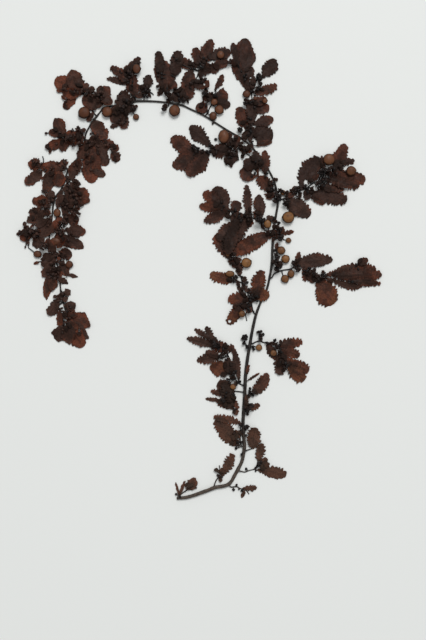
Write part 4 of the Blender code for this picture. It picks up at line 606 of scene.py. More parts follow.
class HeightMap:
    """Top of everything laid so far, and how many blades lie over each cell."""

    def __init__(self):
        shape = (int((MAP_X[1] - MAP_X[0]) / CELL), int((MAP_Y[1] - MAP_Y[0]) / CELL))
        self.top = np.zeros(shape)
        self.layers = np.zeros(shape)

    def places(self, x, y):
        """Fractional cell places of the points (x, y)."""
        return (x - MAP_X[0]) / CELL - 0.5, (y - MAP_Y[0]) / CELL - 0.5

    def floor(self, x, y, reach=DRAPE_REACH, softness=DRAPE_SOFTNESS):
        """Smooth surface over what lies below, at the points (x, y)."""
        gx, gy = self.places(x, y)
        edge = int((reach + 3 * softness) / CELL) + 3
        x0, x1 = max(0, int(gx.min()) - edge), int(gx.max()) + edge
        y0, y1 = max(0, int(gy.min()) - edge), int(gy.max()) + edge
        window = shifted_max(self.top[x0:x1, y0:y1], int(round(reach / CELL)))
        window = blurred(window, softness / CELL)
        return bilinear(window, gx - x0, gy - y0)

    def cover(self, x, y, z, count=0):
        """Raise the top to the points (x, y, z), and add count layers to the cells they are in."""
        gx, gy = self.places(x, y)
        ix = np.clip(np.round(gx).astype(int), 0, self.top.shape[0] - 1).ravel()
        iy = np.clip(np.round(gy).astype(int), 0, self.top.shape[1] - 1).ravel()
        np.maximum.at(self.top, (ix, iy), z.ravel())
        if count:
            cells = np.unique(ix * self.top.shape[1] + iy)
            self.layers.ravel()[cells] += count

    def settle(self):
        """Once all is laid: blur the count of layers."""
        self.layers = blurred(self.layers, LAYER_BLUR)

    def stack(self, x, y):
        """Layers at the points (x, y)."""
        return bilinear(self.layers, *self.places(x, y))


# ------------------------------------------------------------------ building meshes
class Builder:
    """Lays one piece: collects its points, faces and values at each point, and its stems' lines."""

    VALUES = ("tone", "along", "across")

    def __init__(self, name, ground, draw):
        self.name = name
        self.ground = ground
        self.draw = draw
        self.paths = []
        self.points = []
        self.faces = []
        self.kinds = []
        self.values = {key: [] for key in self.VALUES}
        self.count = 0

    def add(self, points, faces, kind, tone, along, across):
        """Add a closed part; each value is one number, or one for every point."""
        number = len(points)
        self.points.append(points)
        for face in faces:
            if len(face):
                self.faces.append(face + self.count)
                self.kinds.append(np.full(len(face), kind))
        for key, value in zip(self.VALUES, (tone, along, across)):
            self.values[key].append(np.broadcast_to(np.asarray(value, float), (number,)))
        self.count += number

    def make(self, materials):
        """The finished piece, once the height map has settled."""
        points = np.concatenate(self.points)
        sheer = np.clip((HOOK_SIDE + HOOK_BLEND - points[:, 0]) / (2 * HOOK_BLEND), 0.0, 1.0)
        layers = self.ground.stack(points[:, 0], points[:, 1])
        values = {key: np.concatenate(parts) for key, parts in self.values.items()}
        values["stack"] = layers * (1.0 - HOOK_SHEER * sheer)
        mesh = bpy.data.meshes.new(self.name)
        faces = [face for block in self.faces for face in block.tolist()]
        mesh.from_pydata((points * MM).tolist(), [], faces)
        for material in materials:
            mesh.materials.append(material)
        mesh.polygons.foreach_set("material_index", np.concatenate(self.kinds).astype(np.int32))
        mesh.polygons.foreach_set("use_smooth", np.ones(len(faces), bool))
        for key, value in values.items():
            layer = mesh.attributes.new(key, "FLOAT", "POINT")
            layer.data.foreach_set("value", value.astype(np.float32))
        mesh.update()
        thing = bpy.data.objects.new(self.name, mesh)
        bpy.context.scene.collection.objects.link(thing)
        return thing


def smooth_line(points, step):
    """Catmull-Rom curve through the points (any number of columns), cut about every step mm."""
    points = np.asarray(points, float)
    if len(points) == 2:
        middle = points.mean(axis=0)
        points = np.array([points[0], middle, points[1]])
    before = 2 * points[0] - points[1]
    after = 2 * points[-1] - points[-2]
    whole = np.vstack([before, points, after])
    result = []
    for a, b, c, d in zip(whole, whole[1:], whole[2:], whole[3:]):
        count = max(1, int(round(math.dist(b[:2], c[:2]) / step)))
        t = np.linspace(0.0, 1.0, count, endpoint=False)[:, None]
        result.append(0.5 * (2 * b + (c - a) * t + (2 * a - 5 * b + 4 * c - d) * t ** 2
                             + (3 * b - a - 3 * c + d) * t ** 3))
    result.append(points[-1:])
    return np.vstack(result)


def skin(rings, sides):
    """Faces round rings of points, closed at either end by one point; these two follow the rings."""
    one = np.arange(sides)
    two = (one + 1) % sides
    row = np.arange(rings - 1)[:, None] * sides
    quads = np.stack([row + one, row + sides + one, row + sides + two, row + two], axis=-1)
    last = (rings - 1) * sides
    front = np.stack([np.full(sides, rings * sides), one, two], axis=-1)
    back = np.stack([np.full(sides, rings * sides + 1), last + two, last + one], axis=-1)
    return [quads.reshape(-1, 4), front, back]


def unit(vectors):
    """The vectors at length 1."""
    return vectors / np.maximum(np.linalg.norm(vectors, axis=1, keepdims=True), 1e-9)


def phase(draw):
    """A random phase, in radians."""
    return draw.uniform(0, 6)


def tube(builder, line, radii, sides, ridges, tone):
    """Closed tube along a 3-D line, faintly ridged and knobbly."""
    count = len(line)
    ahead = unit(np.gradient(line, axis=0))
    side = unit(np.cross(ahead, np.array([0.0, 0.0, 1.0])))
    up = np.cross(side, ahead)
    angle = np.linspace(0.0, 2 * math.pi, sides, endpoint=False)
    twist = np.linspace(0.0, 0.05 * count, count)[:, None]
    start = phase(builder.draw)
    swell = 1.0 + ridges * np.sin(3 * angle[None, :] + twist + start)
    swell += 0.6 * ridges * np.sin(0.9 * np.arange(count)[:, None] + 2.0 * start)
    radius = np.asarray(radii, float).reshape(-1, 1) * swell
    ring = (line[:, None, :] + side[:, None, :] * (radius * np.cos(angle))[:, :, None]
            + up[:, None, :] * (radius * np.sin(angle))[:, :, None])
    points = np.vstack([ring.reshape(-1, 3), line[:1] - END_ROUNDING * ahead[:1] * radius[0, 0],
                        line[-1:] + END_ROUNDING * ahead[-1:] * radius[-1, 0]])
    along = np.concatenate([np.repeat(np.linspace(0, 1, count), sides), [0.0, 1.0]])
    builder.add(points, skin(count, sides), STEM, tone, along, 0.0)


def unit_ball(rings, segments):
    """Points and faces of a closed ball of radius 1 whose poles lie on the X axis."""
    polar = np.linspace(0.0, math.pi, rings + 1)[1:-1]
    turn = np.linspace(0.0, 2 * math.pi, segments, endpoint=False)
    body = np.stack([np.repeat(np.cos(polar), segments),
                     (np.sin(polar)[:, None] * np.cos(turn)).ravel(),
                     (np.sin(polar)[:, None] * np.sin(turn)).ravel()], axis=-1)
    points = np.vstack([body, [[1.0, 0.0, 0.0]], [[-1.0, 0.0, 0.0]]])
    return points, skin(rings - 1, segments)


def lumps(points, draw, count, sharpness):
    """Smooth random bumps over a unit ball, mostly between -1 and 1."""
    total = np.zeros(len(points))
    for _ in range(count):
        axis = np.array([draw.gauss(0, 1) for _ in range(3)])
        axis /= np.linalg.norm(axis)
        total += np.sin(sharpness * (points @ axis) + draw.uniform(0, 6.3))
    return total / math.sqrt(count)


BLADDER_BALL = unit_ball(22, 30)
BEAD_BALL = unit_ball(12, 14)
SMALL_BALL = unit_ball(7, 9)
BLADE, STEM, BLADDER, BEAD = range(4)      # places of the four materials
FLATNESS = {BLADDER: 0.62, BEAD: 0.80}     # pressed: height against width


def nearest_on(paths, x, y):
    """Closest point (distance, x, y, z) on the lines of a spray."""
    best = None
    for path in paths:
        away = np.hypot(path[:, 0] - x, path[:, 1] - y)
        index = int(np.argmin(away))
        if best is None or away[index] < best[0]:
            best = (away[index], *path[index])
    return best


# ------------------------------------------------------------------ blades
def blade_style(x, y, draw):
    """How a blade is cut: (tooth size, power of the tip, place of the fullest width, waviness)."""
    style = HOOK_STYLE if x < HOOK_SIDE else ARCH_STYLE if y > ARCH_FROM else LOW_STYLE
    tooth_sizes, tips, fullest, waves = style
    return draw.uniform(*tooth_sizes), draw.choice(tips), draw.uniform(*fullest), waves


def outline(share, tip_power, fullest):
    """Half width of a blade along its length, 1 at its fullest."""
    rise = np.clip(np.sin(math.pi * share ** fullest), 0.0, None)
    towards_tip = np.clip((share - TIP_FROM) / TIP_BLEND, 0.0, 1.0)
    return rise ** (BASE_POWER + (tip_power - BASE_POWER) * towards_tip)


def teeth(share, length, width, scale, draw):
    """Offset of one margin in mm: forward-pointing teeth of uneven size."""
    number = max(3, int(round(length / TOOTH_PITCH)))
    place = share * number + draw.uniform(0, 1)
    place = place + 0.22 * np.sin(2 * math.pi * place / 3.7 + phase(draw))
    index = np.clip(np.floor(place).astype(int), 0, number + 3)
    part = place - np.floor(place)
    saw = np.sin(0.5 * math.pi * np.where(part < TOOTH_RISE, part / TOOTH_RISE, (1 - part) / TOOTH_FALL))
    size = np.array([draw.uniform(*TOOTH_SIZES) for _ in range(number + 4)])[index]
    depth = scale * min(TOOTH_DEPTH, 0.3 * width)
    fade = np.clip(share / TOOTH_FOOT, 0, 1) * np.clip((1 - share) / TOOTH_TIP, 0, 1)
    return depth * size * (saw - 0.6) * fade


def uneven(share, width, waves, draw):
    """Slow waves in a margin, mm."""
    wave = 0.0
    for height, number in MARGIN_WAVES:
        wave = wave + height * np.sin(2 * math.pi * draw.uniform(*number) * share + phase(draw))
    return MARGIN_WAVE * waves * width * wave * np.sin(math.pi * share)


def blade_plan(row, draw):
    """A blade from above: its length, shares of it at each row, spine, and x and y of its mesh."""
    base, tip, width = np.array(row[0:2]), np.array(row[2:4]), row[4]
    bend = row[5] if len(row) > 5 else 0.0
    along = tip - base
    length = math.hypot(*along)
    side = np.array([-along[1], along[0]]) / length
    rows = max(FEWEST_ROWS, int(round(length / ROW_STEP)))
    even = np.linspace(0.0, 1.0, rows + 1)
    share = (1 - CROWDING) * even + CROWDING * (0.5 - 0.5 * np.cos(math.pi * even))
    sway = draw.uniform(-SWAY, SWAY) * length
    bow = bend * length * 4 * share * (1 - share) + sway * np.sin(2 * math.pi * share) * share
    spine = base + along * share[:, None] + side * bow[:, None]
    heading = unit(np.gradient(spine, axis=0))
    out = np.stack([-heading[:, 1], heading[:, 0]], axis=-1)
    tooth, tip_power, fullest, waves = blade_style(*base, draw)
    half = np.maximum(0.5 * width * FULLNESS * outline(share, tip_power, fullest), LEAST_HALF)
    left = teeth(share, length, width, tooth, draw) + uneven(share, width, waves, draw)
    right = teeth(share, length, width, tooth, draw) + uneven(share, width, waves, draw)
    notch = np.where(COLUMNS > 0, left[:, None], right[:, None]) * np.abs(COLUMNS) ** 4
    reach = half[:, None] * COLUMNS + np.sign(COLUMNS) * notch
    forward = 0.5 * np.abs(notch)
    x, y = (spine[:, None, k] + out[:, None, k] * reach + heading[:, None, k] * forward for k in (0, 1))
    return length, share, spine, x, y


def blade_lift(ground, x, y, s, length, width, draw):
    """Height of a blade's underside: draped over what lies below, rippled and perhaps curled."""
    lift = ground.floor(x, y) + LAYER_GAP
    room = min(1.0, width / WIDE_BLADE)
    waves = length / RIPPLE_LENGTH
    ripple = 0.5 + 0.5 * np.sin(2 * math.pi * waves * s + phase(draw) + 2.2 * (COLUMNS > 0))
    lift = lift + RIPPLE * room * np.abs(COLUMNS) ** 2 * ripple * draw.uniform(0.4, 1.2)
    lift = lift + SWELL * room * (0.5 + 0.5 * np.sin(5.0 * s + 1.5 * COLUMNS + phase(draw)))
    if draw.random() < CURLED_MARGINS:
        edge = np.clip(COLUMNS * draw.choice((-1, 1)), 0, 1) ** 2
        lift = lift + CURL * room * draw.uniform(0.4, 1.0) * edge * np.sin(math.pi * s) ** 2
    if draw.random() < CURLED_TIPS:
        lift = lift + CURL * room * draw.uniform(0.2, 0.8) * np.clip((s - 0.6) / 0.4, 0, 1) ** 2
    return lift


def lay_blade(builder, row, layers=1, free=False):
    """A blade and its petiole; layers is how many flat ones it is as dark as.

    A free one isn't joined to a stem.  Row is that of a leaf in the plan.
    """
    draw, ground = builder.draw, builder.ground
    base, width = np.array(row[0:2]), row[4]
    length, share, spine, x, y = blade_plan(row, draw)
    s = share[:, None]
    bottom = blade_lift(ground, x, y, s, length, width, draw)

    rooted = False
    if builder.paths and not free:
        gap, px, py, pz = nearest_on(builder.paths, *base)
        rooted = bottom[0, MIDRIB] - pz < FOOT_CLIMB
    root = pz - 0.5 * BLADE_THICKNESS if rooted else float(bottom[0, MIDRIB]) - 0.1
    rise = np.clip(s * length / FOOT_LENGTH, 0, 1)
    rise = rise * rise * (3 - 2 * rise)
    bottom = root * (1 - rise) + bottom * rise

    round_off = np.sqrt(np.clip(1 - COLUMNS ** 2, 0, 1))
    thick = MARGIN_THICKNESS + (BLADE_THICKNESS - MARGIN_THICKNESS) * round_off
    rib = RIB_HEIGHT * np.exp(-(COLUMNS / RIB_WIDTH) ** 2) * np.clip((RIB_END - s) * 5, 0, 1)
    top = bottom + thick + rib
    under = np.maximum(bottom - 0.5 * rib, FLOOR_GAP)

    cx, cy = (0.25 * (g[:-1, :-1] + g[1:, :-1] + g[:-1, 1:] + g[1:, 1:]) for g in (x, y))
    keep = np.ones(cx.shape, bool)
    for hx, hy, hw, hh in HOLES:
        keep &= ((cx - hx) / (0.5 * hw)) ** 2 + ((cy - hy) / (0.5 * hh)) ** 2 > 1.0
    points, faces = slab(x, y, top, under, keep)
    tone = draw.random()
    shares, sides = (np.broadcast_to(grid, x.shape).ravel() for grid in (s, np.abs(COLUMNS)))
    builder.add(points, faces, BLADE, tone, np.tile(shares, 2), np.tile(sides, 2))
    ground.cover(*(densify(grid) for grid in (x, y, top)), layers)

    if rooted and gap > PETIOLE_FROM:
        stalk = np.array([[px, py, pz], [*(0.5 * (base + (px, py))), 0.5 * (pz + top[1, MIDRIB])],
                          [*base, float(top[1, MIDRIB]) - 0.2],
                          [*spine[2], float(top[2, MIDRIB]) - 0.2]])
        line = smooth_line(stalk, PETIOLE_STEP)
        radii = np.linspace(PETIOLE_RADIUS, 0.7 * PETIOLE_RADIUS, len(line))
        tube(builder, line, radii, STALK_SIDES, STALK_RIDGES, tone)


def densify(grid):
    """The grid with two more rows between each two, and the same for columns."""
    for axis in (0, 1):
        grid = np.moveaxis(grid, axis, 0)
        steps = [grid[:-1] + (grid[1:] - grid[:-1]) * k for k in (0.0, 1 / 3, 2 / 3)]
        grid = np.concatenate([np.stack(steps, axis=1).reshape(-1, *grid.shape[1:]), grid[-1:]])
        grid = np.moveaxis(grid, 0, axis)
    return grid


def slab(x, y, top, under, keep):
    """Closed solid of two grids and the rims round the kept cells."""
    rows, columns = x.shape
    number = rows * columns
    points = np.vstack([np.stack([x.ravel(), y.ravel(), z.ravel()], axis=-1) for z in (top, under)])
    index = np.arange(number).reshape(rows, columns)
    a, b = index[:-1, :-1], index[1:, :-1]
    c, d = index[1:, 1:], index[:-1, 1:]
    upper = np.stack([a, d, c, b], axis=-1)[keep]
    lower = np.stack([a, b, c, d], axis=-1)[keep] + number
    walls = []
    padded = np.pad(keep, 1)
    for rim, p, q in ((padded[:-2, 1:-1], a, d), (padded[2:, 1:-1], c, b),
                      (padded[1:-1, :-2], b, a), (padded[1:-1, 2:], d, c)):
        open_side = keep & ~rim
        p, q = p[open_side], q[open_side]
        walls.append(np.stack([q, p, p + number, q + number], axis=-1))
    return points, [upper, lower] + walls


# ------------------------------------------------------------------ bladders and receptacles
def lay_ball(builder, kind, row, stretch=1.0, heading=None, free=False):
    """A bladder or a bead, resting on what is below, with its stalk unless it is free.

    Row is that of a bladder in the plan; a bead is as long as it is wide.
    """
    draw, ground = builder.draw, builder.ground
    x, y, size_x, size_y = (*row, row[2])[:4]
    height = FLATNESS[kind] * min(size_x, size_y)
    ball, faces = BLADDER_BALL if kind == BLADDER else SMALL_BALL if size_x < SMALL_BEAD else BEAD_BALL
    swell = 1.0
    for lump, waves, sharpness in BLADDER_LUMPS if kind == BLADDER else BEAD_LUMPS:
        swell = swell + lump * lumps(ball, draw, waves, sharpness)
    if kind == BLADDER:
        swell += NIPPLE * np.clip((ball[:, 0] - 0.94) / 0.06, 0, 1) ** 2
        swell -= DENT * np.exp(-((1 - ball[:, 2]) / 0.25) ** 2) * draw.uniform(0.0, 1.0)
    paths = [] if free else builder.paths
    gap, px, py, pz = nearest_on(paths, x, y) if paths else (0.0, x, y, 0.0)
    ux, uy = ((x - px) / gap, (y - py) / gap) if gap > 0.3 else (math.cos(7 * x), math.sin(7 * x))
    if heading is not None:
        ux, uy = math.cos(heading), math.sin(heading)
    shape = ball * swell[:, None] * np.array([stretch, 1.0, 1.0])
    turned = np.stack([shape[:, 0] * ux - shape[:, 1] * uy, shape[:, 0] * uy + shape[:, 1] * ux,
                       shape[:, 2]], axis=-1)
    spots_x = np.array([x, x + 0.2 * size_x, x - 0.2 * size_x, x, x])
    spots_y = np.array([y, y, y, y + 0.2 * size_y, y - 0.2 * size_y])
    level = float(ground.floor(spots_x, spots_y, 0.25, 0.5).max()) - SINK * height
    centre = max(level, 0.0) + 0.5 * height + 0.03
    points = turned * np.array([0.5 * size_x, 0.5 * size_y, 0.5 * height]) + (x, y, centre)
    points[:, 2] = np.maximum(points[:, 2], FLOOR_GAP)
    # how far the surface turns sideways; the bladder's material paints shade by it
    rim = 1.0 - np.abs(shape[:, 2])
    builder.add(points, faces, kind, draw.random(), 0.5 + 0.5 * ball[:, 0], rim)
    reached = kind == BLADDER or gap < LONGEST_STALK
    if reached and gap > 0.35 * size_x:
        inner = (x - 0.3 * size_x * ux, y - 0.3 * size_y * uy, centre)
        middle = (0.5 * (px + inner[0]), 0.5 * (py + inner[1]), 0.5 * (pz + centre) + 0.1)
        line = smooth_line([(px, py, pz), middle, inner], STALK_STEP)
        radii = [STALK_RADIUS] * len(line)
        tube(builder, line, radii, STALK_SIDES, STALK_RIDGES, STALK_TONE)
    ground.cover(*points[shape[:, 2] > 0].T)


def lay_bunch(builder, x, y, size):
    """A bunch of warty receptacles about size mm across, or a single one."""
    draw = builder.draw
    if size < BUNCH_FROM:
        lay_ball(builder, BEAD, (x, y, size))
        return
    lay_ball(builder, BEAD, (x, y, BUNCH_CORE * size))
    count = draw.randint(*BUNCH_SIZE)
    start = draw.uniform(0, 6.3)
    for k in range(count):
        turn = start + (k + draw.uniform(-0.3, 0.3)) * 2 * math.pi / count
        away = size * draw.uniform(*BUNCH_REACH)
        width = size * draw.uniform(*BUNCH_WIDTH)
        row = (x + away * math.cos(turn), y + away * math.sin(turn), width)
        lay_ball(builder, BEAD, row, draw.uniform(*BUNCH_STRETCH), turn, True)


def over_bladder(x, y):
    """Whether something small laid at (x, y) would hide a bladder."""
    return any(math.dist((x, y), row[:2]) < 0.5 * row[2] + BLADDER_CLEAR for row in BLADDERS)


def lay_tangle(builder, x, y, reach, count):
    """Small crumpled blades and receptacles crowded round (x, y)."""
    draw = builder.draw
    for _ in range(int(count)):
        turn = draw.uniform(0, 2 * math.pi)
        away = 0.8 * reach * math.sqrt(draw.random())
        spot = (x + away * math.cos(turn), y + away * math.sin(turn))
        heading = turn + draw.gauss(0, TANGLE_SPREAD)
        if draw.random() < CRUMPLED_SHARE:
            length = draw.uniform(*CRUMPLED_LENGTH)
            tip = (spot[0] + length * math.cos(heading), spot[1] + length * math.sin(heading))
            row = (*spot, *tip, draw.uniform(*CRUMPLED_WIDTH), draw.uniform(*CRUMPLED_BEND))
            if not (over_bladder(*spot) or over_bladder(*tip)):
                lay_blade(builder, row, CRUMPLED_LAYERS, True)
        else:
            width = draw.uniform(*TANGLE_BEAD)
            stretch = draw.uniform(*TANGLE_STRETCH)
            if not over_bladder(*spot):
                lay_ball(builder, BEAD, (*spot, width), stretch, heading, True)


def axil_beads(leaves, draw):
    """Small receptacles crowded round the foot of each blade: (x, y, diameter)."""
    beads = []
    for row in leaves:
        if math.dist(row[:2], row[2:4]) * row[4] < SMALL_LEAF:
            continue
        for _ in range(draw.choice(AXIL_CROWD)):
            turn = draw.uniform(0, 2 * math.pi)
            away = draw.uniform(*AXIL_REACH)
            spot = (row[0] + away * math.cos(turn), row[1] + away * math.sin(turn))
            size = draw.uniform(*AXIL_BEAD)
            if not over_bladder(*spot):
                beads.append((*spot, size))
    return beads


# ------------------------------------------------------------------ stems
def lay_stem(builder, path, roots):
    """A side stem, draped over what is there, that starts in the nearest of the roots."""
    ground = builder.ground
    gap, px, py, pz = nearest_on(roots, *path[0])
    line = smooth_line([(px, py), *path[0 if gap > SEAT else 1:]], STEM_STEP)
    level = ground.floor(line[:, 0], line[:, 1], 0.5, 0.8) + STEM_RADIUS + FLOOR_GAP
    away = np.concatenate([[0], np.cumsum(np.hypot(*np.diff(line, axis=0).T))])
    blend = np.clip(away / BLEND_IN, 0, 1)[:, None]
    line = np.hstack([line, pz * (1 - blend) + level[:, None] * blend])
    radii = STEM_RADIUS * (1.12 - 0.35 * away / max(away[-1], 1e-6))
    tube(builder, line, radii, STEM_SIDES, STEM_RIDGES, STEM_TONE)
    builder.paths.append(line)
    for shift in (-0.3, 0.0, 0.3):
        ground.cover(line[:, 0] + shift, line[:, 1], line[:, 2] + STEM_RADIUS)
        ground.cover(line[:, 0], line[:, 1] + shift, line[:, 2] + STEM_RADIUS)


def lay_trunk(builder):
    """The main stem, with a slight knee wherever a spray leaves it."""
    line = smooth_line(AXIS, STEM_STEP)
    radii = line[:, 2].copy()
    for _, spray in SPRAYS[1:]:
        if spray["stem"]:
            x, y = spray["stem"][0][0]
            away = np.hypot(line[:, 0] - x, line[:, 1] - y)
            radii += KNEE * np.exp(-(away / KNEE_REACH) ** 2)
    radii *= TRUNK_WIDTH
    line = np.stack([line[:, 0], line[:, 1], radii + FLOOR_GAP], axis=-1)
    tube(builder, line, radii, TRUNK_SIDES, TRUNK_RIDGES, TRUNK_TONE)
    for shift in (-0.75, -0.4, 0.0, 0.4, 0.75):
        drop = 1.0 - math.sqrt(1 - shift * shift)
        for step_x, step_y in ((shift, 0.0), (0.0, shift)):
            builder.ground.cover(line[:, 0] + step_x * radii, line[:, 1] + step_y * radii,
                                 (2.0 - drop) * radii)
    builder.paths.append(line)
    return line


# ------------------------------------------------------------------ materials
class Nodes:
    """Short names for the shader nodes of one material."""

    def __init__(self, name):
        self.material = bpy.data.materials.new(name)
        self.material.use_nodes = True
        self.tree = self.material.node_tree
        self.shader = self.tree.nodes["Principled BSDF"]
        self.object = self.add("TexCoord", {}).outputs["Object"]

    def feed(self, node, inputs):
        """Link or set a node's inputs, each to a socket, a number or a colour."""
        for key, value in inputs.items():
            if isinstance(value, (int, float)):
                node.inputs[key].default_value = value
            elif isinstance(value, tuple):
                node.inputs[key].default_value = (*value, 1.0)
            else:
                self.tree.links.new(value, node.inputs[key])

    def add(self, kind, inputs, **settings):
        """A new node of this kind."""
        node = self.tree.nodes.new("ShaderNode" + kind)
        for key, value in settings.items():
            setattr(node, key, value)
        self.feed(node, inputs)
        return node

    def value(self, key):
        """Value kept at each point of the mesh."""
        return self.add("Attribute", {}, attribute_name=key).outputs["Fac"]

    def maths(self, operation, a, b, clamp=False):
        return self.add("Math", {0: a, 1: b}, operation=operation, use_clamp=clamp).outputs[0]

    def times(self, a, b):
        return self.maths("MULTIPLY", a, b)

    def plus(self, a, b, clamp=False):
        return self.maths("ADD", a, b, clamp)

    def between(self, value, low, high, out_low=0.0, out_high=1.0):
        """Smooth step from out_low, where the value is low, to out_high, where it is high."""
        inputs = dict(enumerate((value, low, high, out_low, out_high)))
        return self.add("MapRange", inputs, interpolation_type="SMOOTHSTEP").outputs["Result"]

    def place(self, axis, change):
        """Smooth step along X or Y."""
        split = self.add("SeparateXYZ", {"Vector": self.object})
        return self.between(split.outputs[axis], *change)

    def region(self, rise, run):
        return self.times(self.place("Y", rise), self.place("X", run))

    def mix(self, share, a, b):
        """Blend of two colours."""
        return self.add("Mix", {"Factor": share, 6: a, 7: b}, data_type="RGBA").outputs[2]

    def noise(self, size, detail=3.0, roughness=0.55):
        """Noise whose blotches are about size mm across."""
        return self.add("TexNoise", {"Vector": self.object, "Scale": 1.0 / (size * MM), "Detail": detail,
                                     "Roughness": roughness}).outputs["Fac"]

    def dots(self, size):
        """Distance from scattered points about size mm apart."""
        inputs = {"Vector": self.object, "Scale": 1.0 / (size * MM)}
        return self.add("TexVoronoi", inputs).outputs["Distance"]

    def bump(self, height, strength, depth, **before):
        inputs = {"Height": height, "Strength": strength, "Distance": depth * MM}
        return self.add("Bump", {**inputs, **before}).outputs["Normal"]

    def finish(self, colour, roughness, normal, specular):
        self.feed(self.shader, {"Base Color": colour, "Roughness": roughness, "Normal": normal,
                                "Specular IOR Level": specular})
        return self.material


def blade_material():
    n = Nodes("dried blade")
    stack, tone, along, across = (n.value(key) for key in ("stack", "tone", "along", "across"))
    blotch = n.noise(6.0, 3.0, 0.6)
    grain = n.noise(0.9, 4.0, 0.65)
    patch = n.between(n.noise(7.5, 2.0, 0.5), 0.40, 0.54, 0.45, 1.0)
    thin = n.times(n.between(stack, *DARK_STACK), patch)
    arch = n.region(ARCH_RISE, ARCH_RUN)
    # redder by the blade, the blotch, and towards its tip and margins; less so in the arch
    ruddy = n.plus(n.times(tone, 0.55), n.times(blotch, 0.9))
    ruddy = n.plus(ruddy, n.times(along, 0.30))
    ruddy = n.plus(ruddy, n.between(across, 0.45, 0.85, 0.0, 0.22))
    ruddy = n.times(n.between(ruddy, 0.82, 1.35), n.between(arch, 0.0, 1.0, 1.0, 0.55))
    ruddy = n.plus(ruddy, n.times(n.region(HOOK_TOP_RISE, HOOK_TOP_RUN), 0.25), True)
    amber = n.times(n.between(n.plus(tone, blotch), 1.3, 1.6), n.region(LOW_RISE, LOW_RUN))
    red = n.mix(amber, RED_BLADE, AMBER_BLADE)
    old = n.place("Y", OLD_RISE)
    single = n.mix(ruddy, n.mix(arch, BROWN_BLADE, ARCH_BLADE), red)
    single = n.mix(n.times(old, 0.6), single, OLD_BLADE)
    colour = n.mix(n.times(thin, 0.92), n.mix(old, DARK_BLADE, OLD_DARK), single)
    colour = n.mix(n.between(grain, 0.36, 0.70, 0.0, 0.55), colour, BLACK)
    pits = n.between(n.dots(1.05), 0.16, 0.30, 0.55, 0.0)
    midrib = n.between(across, 0.16, 0.03, 0.0, 0.3)
    margin = n.between(across, 0.86, 1.0, 0.0, 0.45)
    for share in (pits, midrib, margin):
        colour = n.mix(share, colour, DARK_BLADE)
    rough = n.between(n.noise(2.2, 3.0), 0.3, 0.7, 0.5, 0.8)
    wrinkle = n.bump(n.noise(1.6, 5.0, 0.6), 0.70, 0.36)
    normal = n.bump(grain, 0.35, 0.10, Normal=wrinkle)
    return n.finish(colour, rough, normal, 0.11)


def stem_material():
    n = Nodes("dried stem")
    streak = n.noise(1.3, 4.0, 0.6)
    share = n.between(n.plus(streak, n.times(n.value("tone"), 0.45)), 0.65, 1.05, 0.0, 0.8)
    colour = n.mix(share, STEM_BLACK, STEM_GREY)
    colour = n.mix(n.place("Y", FOOT_RISE), colour, n.mix(share, STEM_GREY, FOOT_GREY))
    rough = n.between(n.noise(0.7), 0.3, 0.7, 0.42, 0.7)
    normal = n.bump(n.noise(0.5, 4.0, 0.6), 0.5, 0.14)
    return n.finish(colour, rough, normal, 0.3)


def bladder_material():
    n = Nodes("dried bladder")
    cloud = n.noise(2.6, 3.0)
    young = n.maths("MAXIMUM", n.place("Y", YOUNG_RISE), n.place("X", HOOK_RUN))
    share = n.between(n.plus(cloud, n.times(n.value("tone"), 0.5)), 0.5, 1.0)
    colour = n.mix(share, n.mix(young, BLADDER_TAN, YOUNG_TAN), n.mix(young, BLADDER_BROWN, YOUNG_BROWN))
    # darker ring round the side: partly the bladder's thicker wall, partly painted shade where the side
    # turns from the overhead light
    edge = n.between(n.value("across"), 0.30, 0.64, 0.0, 0.85)
    specks = n.between(n.dots(0.95), 0.10, 0.22, 0.5, 0.0)
    stains = n.between(n.noise(1.5, 4.0, 0.7), 0.50, 0.72, 0.0, 0.55)
    for share in (edge, specks, stains):
        colour = n.mix(share, colour, BLADDER_STAIN_AND_SHADE)
    rough = n.between(cloud, 0.3, 0.7, 0.38, 0.55)
    normal = n.bump(n.noise(1.1, 4.0, 0.6), 0.45, 0.18)
    return n.finish(colour, rough, normal, 0.16)


def bead_material():
    n = Nodes("dried receptacle")
    share = n.between(n.plus(n.noise(0.8), n.times(n.value("tone"), 0.4)), 0.55, 0.95)
    colour = n.mix(share, BEAD_BLACK, BEAD_BROWN)
    colour = n.mix(n.place("X", HOOK_RUN), colour, n.mix(share, BEAD_BROWN, HOOK_BEAD))
    rough = n.between(n.noise(0.6), 0.3, 0.7, 0.45, 0.75)
    normal = n.bump(n.noise(0.45, 4.0, 0.6), 0.6, 0.16)
    return n.finish(colour, rough, normal, 0.25)


def floor_material():
    n = Nodes("pale floor")
    n.feed(n.shader, {"Base Color": FLOOR_COLOUR, "Roughness": 0.9, "Specular IOR Level": 0.1})
    return n.material


# ------------------------------------------------------------------ floor, light, camera
def make_floor():
    mesh = bpy.data.meshes.new("floor")
    reach = FLOOR_REACH
    mesh.from_pydata([(-reach, -reach, 0), (reach, -reach, 0), (reach, reach, 0), (-reach, reach, 0)],
                     [], [(0, 1, 2, 3)])
    mesh.materials.append(floor_material())
    floor = bpy.data.objects.new("floor", mesh)
    bpy.context.scene.collection.objects.link(floor)


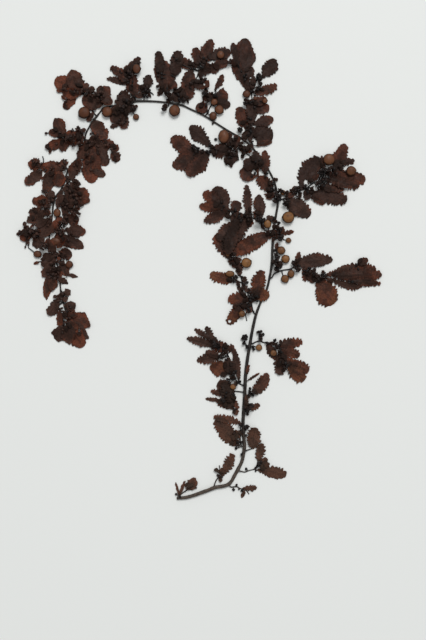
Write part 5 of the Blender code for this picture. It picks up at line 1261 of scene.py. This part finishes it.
def make_light():
    world = bpy.data.worlds.new("studio")
    bpy.context.scene.world = world
    world.use_nodes = True
    background = world.node_tree.nodes["Background"]
    background.inputs["Color"].default_value = SKY_COLOUR
    background.inputs["Strength"].default_value = SKY_STRENGTH
    data = bpy.data.lights.new("key", "AREA")
    data.shape = "DISK"
    data.size = KEY_SIZE
    data.energy = KEY_POWER
    lamp = bpy.data.objects.new("key", data)
    lamp.location = KEY_PLACE
    x, y, z = KEY_PLACE
    # a lamp shines along its own -Z, which this turns to the origin
    lamp.rotation_euler = (math.atan2(math.hypot(x, y), z), 0.0, math.atan2(-y, -x) - math.pi / 2)
    bpy.context.scene.collection.objects.link(lamp)


def make_camera():
    data = bpy.data.cameras.new("camera")
    data.lens = LENS
    data.sensor_width = SENSOR
    data.clip_start = 0.01
    camera = bpy.data.objects.new("camera", data)
    distance = FIELD_HEIGHT * LENS / SENSOR
    camera.location = (VIEW_CENTRE[0] * MM, VIEW_CENTRE[1] * MM, distance * MM)
    bpy.context.scene.collection.objects.link(camera)
    bpy.context.scene.camera = camera


# ------------------------------------------------------------------ the shoot
def make_shoot():
    ground = HeightMap()
    draw = random.Random(SEED)
    builders = [Builder(name + "_look", ground, draw) for name, _ in SPRAYS]
    trunk = lay_trunk(builders[0])
    for builder, (name, spray) in zip(builders, SPRAYS):
        for index, path in enumerate(spray["stem"]):
            on_trunk = index == 0 and name != "main_stem"
            lay_stem(builder, path, [trunk] if on_trunk else builder.paths)
    for builder, (_, spray) in zip(builders, SPRAYS):
        for row in spray["leaf"] + spray["slip"]:
            lay_blade(builder, row)
        for row in spray["bladder"]:
            lay_ball(builder, BLADDER, row)
        for row in spray["tangle"]:
            lay_tangle(builder, *row)
        for row in spray["bead"] + axil_beads(spray["leaf"], draw):
            lay_bunch(builder, *row)
    ground.settle()
    materials = [blade_material(), stem_material(), bladder_material(), bead_material()]
    for builder, (name, _) in zip(builders, SPRAYS):
        piece = builder.make(materials)
        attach(piece, "root")
        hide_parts(name)


bpy.context.scene.view_settings.view_transform = "Standard"
make_shoot()
make_floor()
make_light()
make_camera()
